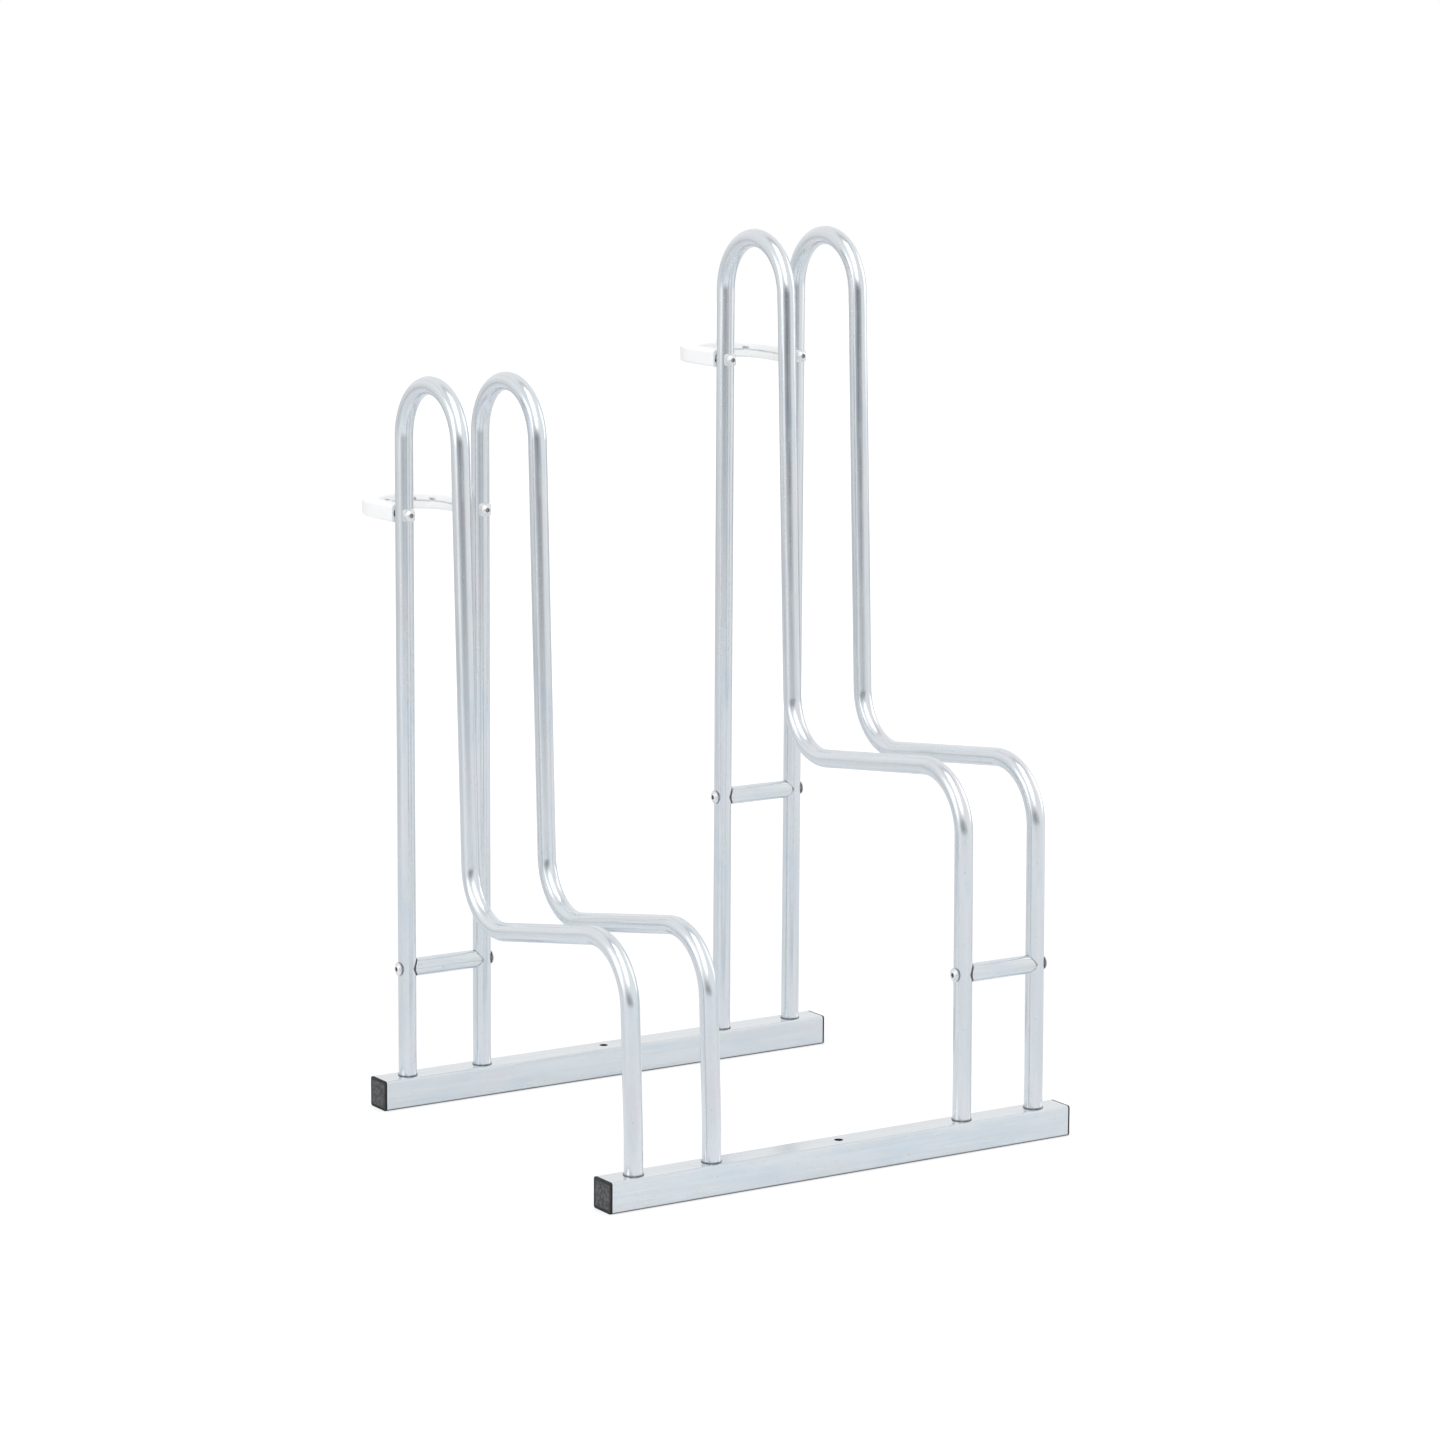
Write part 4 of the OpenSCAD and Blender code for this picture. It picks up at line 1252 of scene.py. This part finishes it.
class RACK_OT_inserts(bpy.types.Operator):
    """Give the threaded inserts inside the spacers and bows their brass finish"""

    bl_idname = "rack.inserts"
    bl_label = "Inserts"

    def execute(self, context):
        # The brass is kept very dark: painted shade in the hollows round the inserts.
        for name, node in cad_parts.items():
            if name.endswith("_inserts"):
                for holder in node.material_slots:
                    holder.material = surface("turned_brass")
        return {"FINISHED"}


# The way from the rack to the greyer part of the room, a little to the left of the front
DARK_WAY = (-0.545, -0.839, 0.0)
# Colour that the floor and the room fade to there
DARK_TINT = (0.0, 0.015, 0.05)
# Way to the left and behind in which they are a little darker too
EDGE_WAY = (-0.79, 0.613, 0.0)
# Height of the floor's surface, a hair below the rack
FLOOR_LEVEL = -0.0003
# The point that all lamps face
LAMP_AIM = (0, 0, 0.4)
# Width of the camera's sensor in millimetres, and of the photograph in pixels
SENSOR = 36
PICTURE = 1440


def toward(tree, way, aim):
    """How nearly a way points to an aim, from -1 to 1."""
    return vectors(tree, "DOT_PRODUCT", vectors(tree, "NORMALIZE", way)[0], aim)["Value"]


def mixed(tree, factor, first, second):
    """Mixes two shaders."""
    return add(tree, "ShaderNodeMixShader", {0: factor, 1: first.outputs[0], 2: second.outputs[0]})


def studio_floor(context):
    """A pale floor that the camera sees as white with the rack's soft shadow, greyer far in front and behind."""
    stage, count = context.scene.rack_stage, 64
    rings = [circle_points(stage.floor_radius * part, FLOOR_LEVEL, count) for part in (0.02, 0.1, 0.3, 0.6, 1)]
    faces = [tuple(range(count))]
    for i in range(len(rings) - 1):
        for k in range(count):
            after = (k + 1) % count
            faces.append((i * count + k, (i + 1) * count + k, (i + 1) * count + after, i * count + after))
    floor = mesh_object("floor", [p for ring in rings for p in ring], faces=faces)
    made = bpy.data.materials.new("floor_paper")
    made.use_nodes = True
    tree = made.node_tree
    tree.nodes.clear()
    place = object_place(tree)
    apart = vectors(tree, "LENGTH", place)["Value"]
    ahead, beside = toward(tree, place, DARK_WAY), toward(tree, place, EDGE_WAY)
    far = sums(tree, "ADD", between(tree, apart, 2.0, 3.4, 0, 0.22), between(tree, apart, 5.4, 8.8, 0, 0.45))
    front = sums(tree, "MULTIPLY", between(tree, ahead, 0.70, 0.955), far)
    spot = sums(tree, "MULTIPLY", between(tree, ahead, 0.955, 0.992), between(tree, apart, 5.5, 9.0, 0, 0.86))
    back = sums(tree, "MULTIPLY", between(tree, ahead, -0.3, -0.8), between(tree, apart, 1.2, 4.5, 0, 0.30))
    near = sums(tree, "SUBTRACT", between(tree, apart, 0.8, 2.6, 0, 0.24), between(tree, apart, 3.4, 6.0, 0, 0.20))
    edge = sums(tree, "MULTIPLY", between(tree, beside, 0.80, 0.97), near)
    close = sums(tree, "SUBTRACT", between(tree, apart, 0.38, 0.60, 0, 0.10), between(tree, apart, 0.9, 1.6, 0, 0.10))
    dark = sums(tree, "ADD", sums(tree, "MAXIMUM", front, spot), sums(tree, "MAXIMUM", back, edge), close)
    mottle = noise(tree, place, 3, 3)
    tone = blend(tree, between(tree, mottle, 0.3, 0.7), tuple(stage.floor), scaled(stage.floor, 0.99))
    paper = add(tree, "ShaderNodeBsdfDiffuse", {"Color": blend(tree, dark, tone, DARK_TINT)})
    haze = add(tree, "ShaderNodeEmission", {"Color": blend(tree, dark, (1, 1, 1), DARK_TINT), "Strength": 0.95})
    white = add(tree, "ShaderNodeEmission", {"Color": (1, 1, 1, 1), "Strength": 1.12})
    ray = add(tree, "ShaderNodeLightPath")
    distant = sums(tree, "MULTIPLY", ray.outputs["Is Glossy Ray"], between(tree, apart, 2.2, 5.5))
    lift = sums(tree, "MULTIPLY", ray.outputs["Is Camera Ray"], between(tree, apart, 0.5, 1.3, 0.60, 1.0))
    seen = mixed(tree, lift, mixed(tree, distant, paper, haze), white)
    out = add(tree, "ShaderNodeOutputMaterial")
    tree.links.new(seen.outputs[0], out.inputs["Surface"])
    floor.data.materials.append(made)


def studio_surround(context):
    """White all round for the camera. Metal sees the same white with a greyer room in front and overhead."""
    world = bpy.data.worlds.new("studio")
    context.scene.world = world
    world.use_nodes = True
    tree = world.node_tree
    tree.nodes.clear()
    way = add(tree, "ShaderNodeTexCoord").outputs["Generated"]
    rise = add(tree, "ShaderNodeSeparateXYZ", {0: way}).outputs["Z"]
    level = vectors(tree, "MULTIPLY", way, (1, 1, 0))[0]
    ahead, beside = toward(tree, level, DARK_WAY), toward(tree, level, EDGE_WAY)
    narrowed = sums(tree, "SUBTRACT", ahead, sums(tree, "MULTIPLY", rise, 0.9))
    front = sums(tree, "MULTIPLY", between(tree, narrowed, 0.56, 0.92), between(tree, rise, 0.42, 0.16, 0, 0.66))
    spot = sums(tree, "MULTIPLY", between(tree, ahead, 0.955, 0.992), between(tree, rise, 0.18, 0.05, 0, 0.84))
    back = sums(tree, "MULTIPLY", between(tree, ahead, -0.2, -0.8), between(tree, rise, 0.16, 0.0, 0, 0.20))
    edge = sums(tree, "MULTIPLY", between(tree, beside, 0.80, 0.97), between(tree, rise, 0.36, 0.12, 0, 0.05))
    above = between(tree, rise, 0.86, 0.97, 0, 0.35)
    grey = sums(tree, "ADD", sums(tree, "MAXIMUM", front, spot), sums(tree, "MAXIMUM", back, edge), above)
    soft = add(tree, "ShaderNodeBackground", {"Color": (1, 1, 1, 1), "Strength": context.scene.rack_stage.surround})
    room = add(tree, "ShaderNodeBackground", {"Color": blend(tree, grey, (1, 1, 1), DARK_TINT), "Strength": 1.0})
    white = add(tree, "ShaderNodeBackground", {"Color": (1, 1, 1, 1), "Strength": 1.0})
    ray = add(tree, "ShaderNodeLightPath")
    mirrored = sums(tree, "MAXIMUM", ray.outputs["Is Glossy Ray"], ray.outputs["Is Transmission Ray"])
    shown = mixed(tree, ray.outputs["Is Camera Ray"], mixed(tree, mirrored, soft, room), white)
    out = add(tree, "ShaderNodeOutputWorld")
    tree.links.new(shown.outputs[0], out.inputs["Surface"])


def softbox(name, place, width, height, power):
    """A large soft lamp aimed at the rack."""
    lamp = bpy.data.lights.new(name, "AREA")
    lamp.shape, lamp.size, lamp.size_y, lamp.energy = "RECTANGLE", width, height, power
    made = bpy.data.objects.new(name, lamp)
    made.location = place
    made.rotation_euler = (Vector(LAMP_AIM) - Vector(place)).to_track_quat("-Z", "Y").to_euler()
    bpy.context.scene.collection.objects.link(made)


def photo_camera(context):
    """A camera at the photograph's viewing angle."""
    stage = context.scene.rack_stage
    turn, rise, roll = stage.camera_turn, stage.camera_rise, stage.camera_roll
    ahead = Vector((math.sin(turn) * math.cos(rise), math.cos(turn) * math.cos(rise), -math.sin(rise)))
    right = Vector((math.cos(turn), -math.sin(turn), 0))
    up = right.cross(ahead)
    rolled_right = math.cos(roll) * right + math.sin(roll) * up
    rolled_up = math.cos(roll) * up - math.sin(roll) * right
    lens = bpy.data.cameras.new("camera")
    lens.sensor_width = SENSOR
    lens.lens = stage.focal_pixels * SENSOR / PICTURE
    lens.clip_start, lens.clip_end = 0.1, 100
    camera = bpy.data.objects.new("camera", lens)
    facing = Matrix((rolled_right, rolled_up, -ahead)).transposed().to_4x4()
    camera.matrix_world = Matrix.Translation(stage.camera_place) @ facing
    context.scene.collection.objects.link(camera)
    context.scene.camera = camera


class RACK_OT_stage(bpy.types.Operator):
    """Set up the pale floor, the soft light and the camera"""

    bl_idname = "rack.stage"
    bl_label = "Floor, light and camera"

    def execute(self, context):
        stage = context.scene.rack_stage
        studio_floor(context)
        studio_surround(context)
        softbox("lamp_overhead", (-0.7, -1.5, 3.2), 1.7, 4.4, stage.overhead)
        softbox("lamp_left", (-3.4, 0.2, 1.6), 2.0, 2.4, stage.side)
        softbox("lamp_right", (3.4, -0.4, 1.6), 2.0, 2.4, stage.side)
        photo_camera(context)
        context.scene.view_settings.view_transform = "Standard"
        return {"FINISHED"}


OPERATORS = (RACK_OT_bars, RACK_OT_caps, RACK_OT_hoops, RACK_OT_spacers, RACK_OT_rings, RACK_OT_bows,
             RACK_OT_screws, RACK_OT_washers, RACK_OT_plugs, RACK_OT_inserts, RACK_OT_stage)


class RACK_PT_panel(bpy.types.Panel):
    """Lists the rack's pieces"""

    bl_idname = "RACK_PT_panel"
    bl_label = "Bike rack"
    bl_space_type = "VIEW_3D"
    bl_region_type = "UI"
    bl_category = "Bike rack"

    def draw(self, context):
        for operator in OPERATORS:
            self.layout.operator(operator.bl_idname)


def register():
    """Registers the classes and their sizes on the scene."""
    for group in (*GROUPS.values(), *OPERATORS, RACK_PT_panel):
        bpy.utils.register_class(group)
    for name, group in GROUPS.items():
        setattr(bpy.types.Scene, name, bpy.props.PointerProperty(type=group))


def unregister():
    """Takes them away again."""
    for name in GROUPS:
        delattr(bpy.types.Scene, name)
    for group in reversed((*GROUPS.values(), *OPERATORS, RACK_PT_panel)):
        bpy.utils.unregister_class(group)


def main():
    """Builds every piece and the stage."""
    register()
    bpy.ops.rack.stage()
    bpy.ops.rack.bars()
    bpy.ops.rack.caps()
    bpy.ops.rack.hoops()
    bpy.ops.rack.spacers()
    bpy.ops.rack.rings()
    bpy.ops.rack.bows()
    bpy.ops.rack.screws()
    bpy.ops.rack.washers()
    bpy.ops.rack.plugs()
    bpy.ops.rack.inserts()


if __name__ == "__main__":
    main()
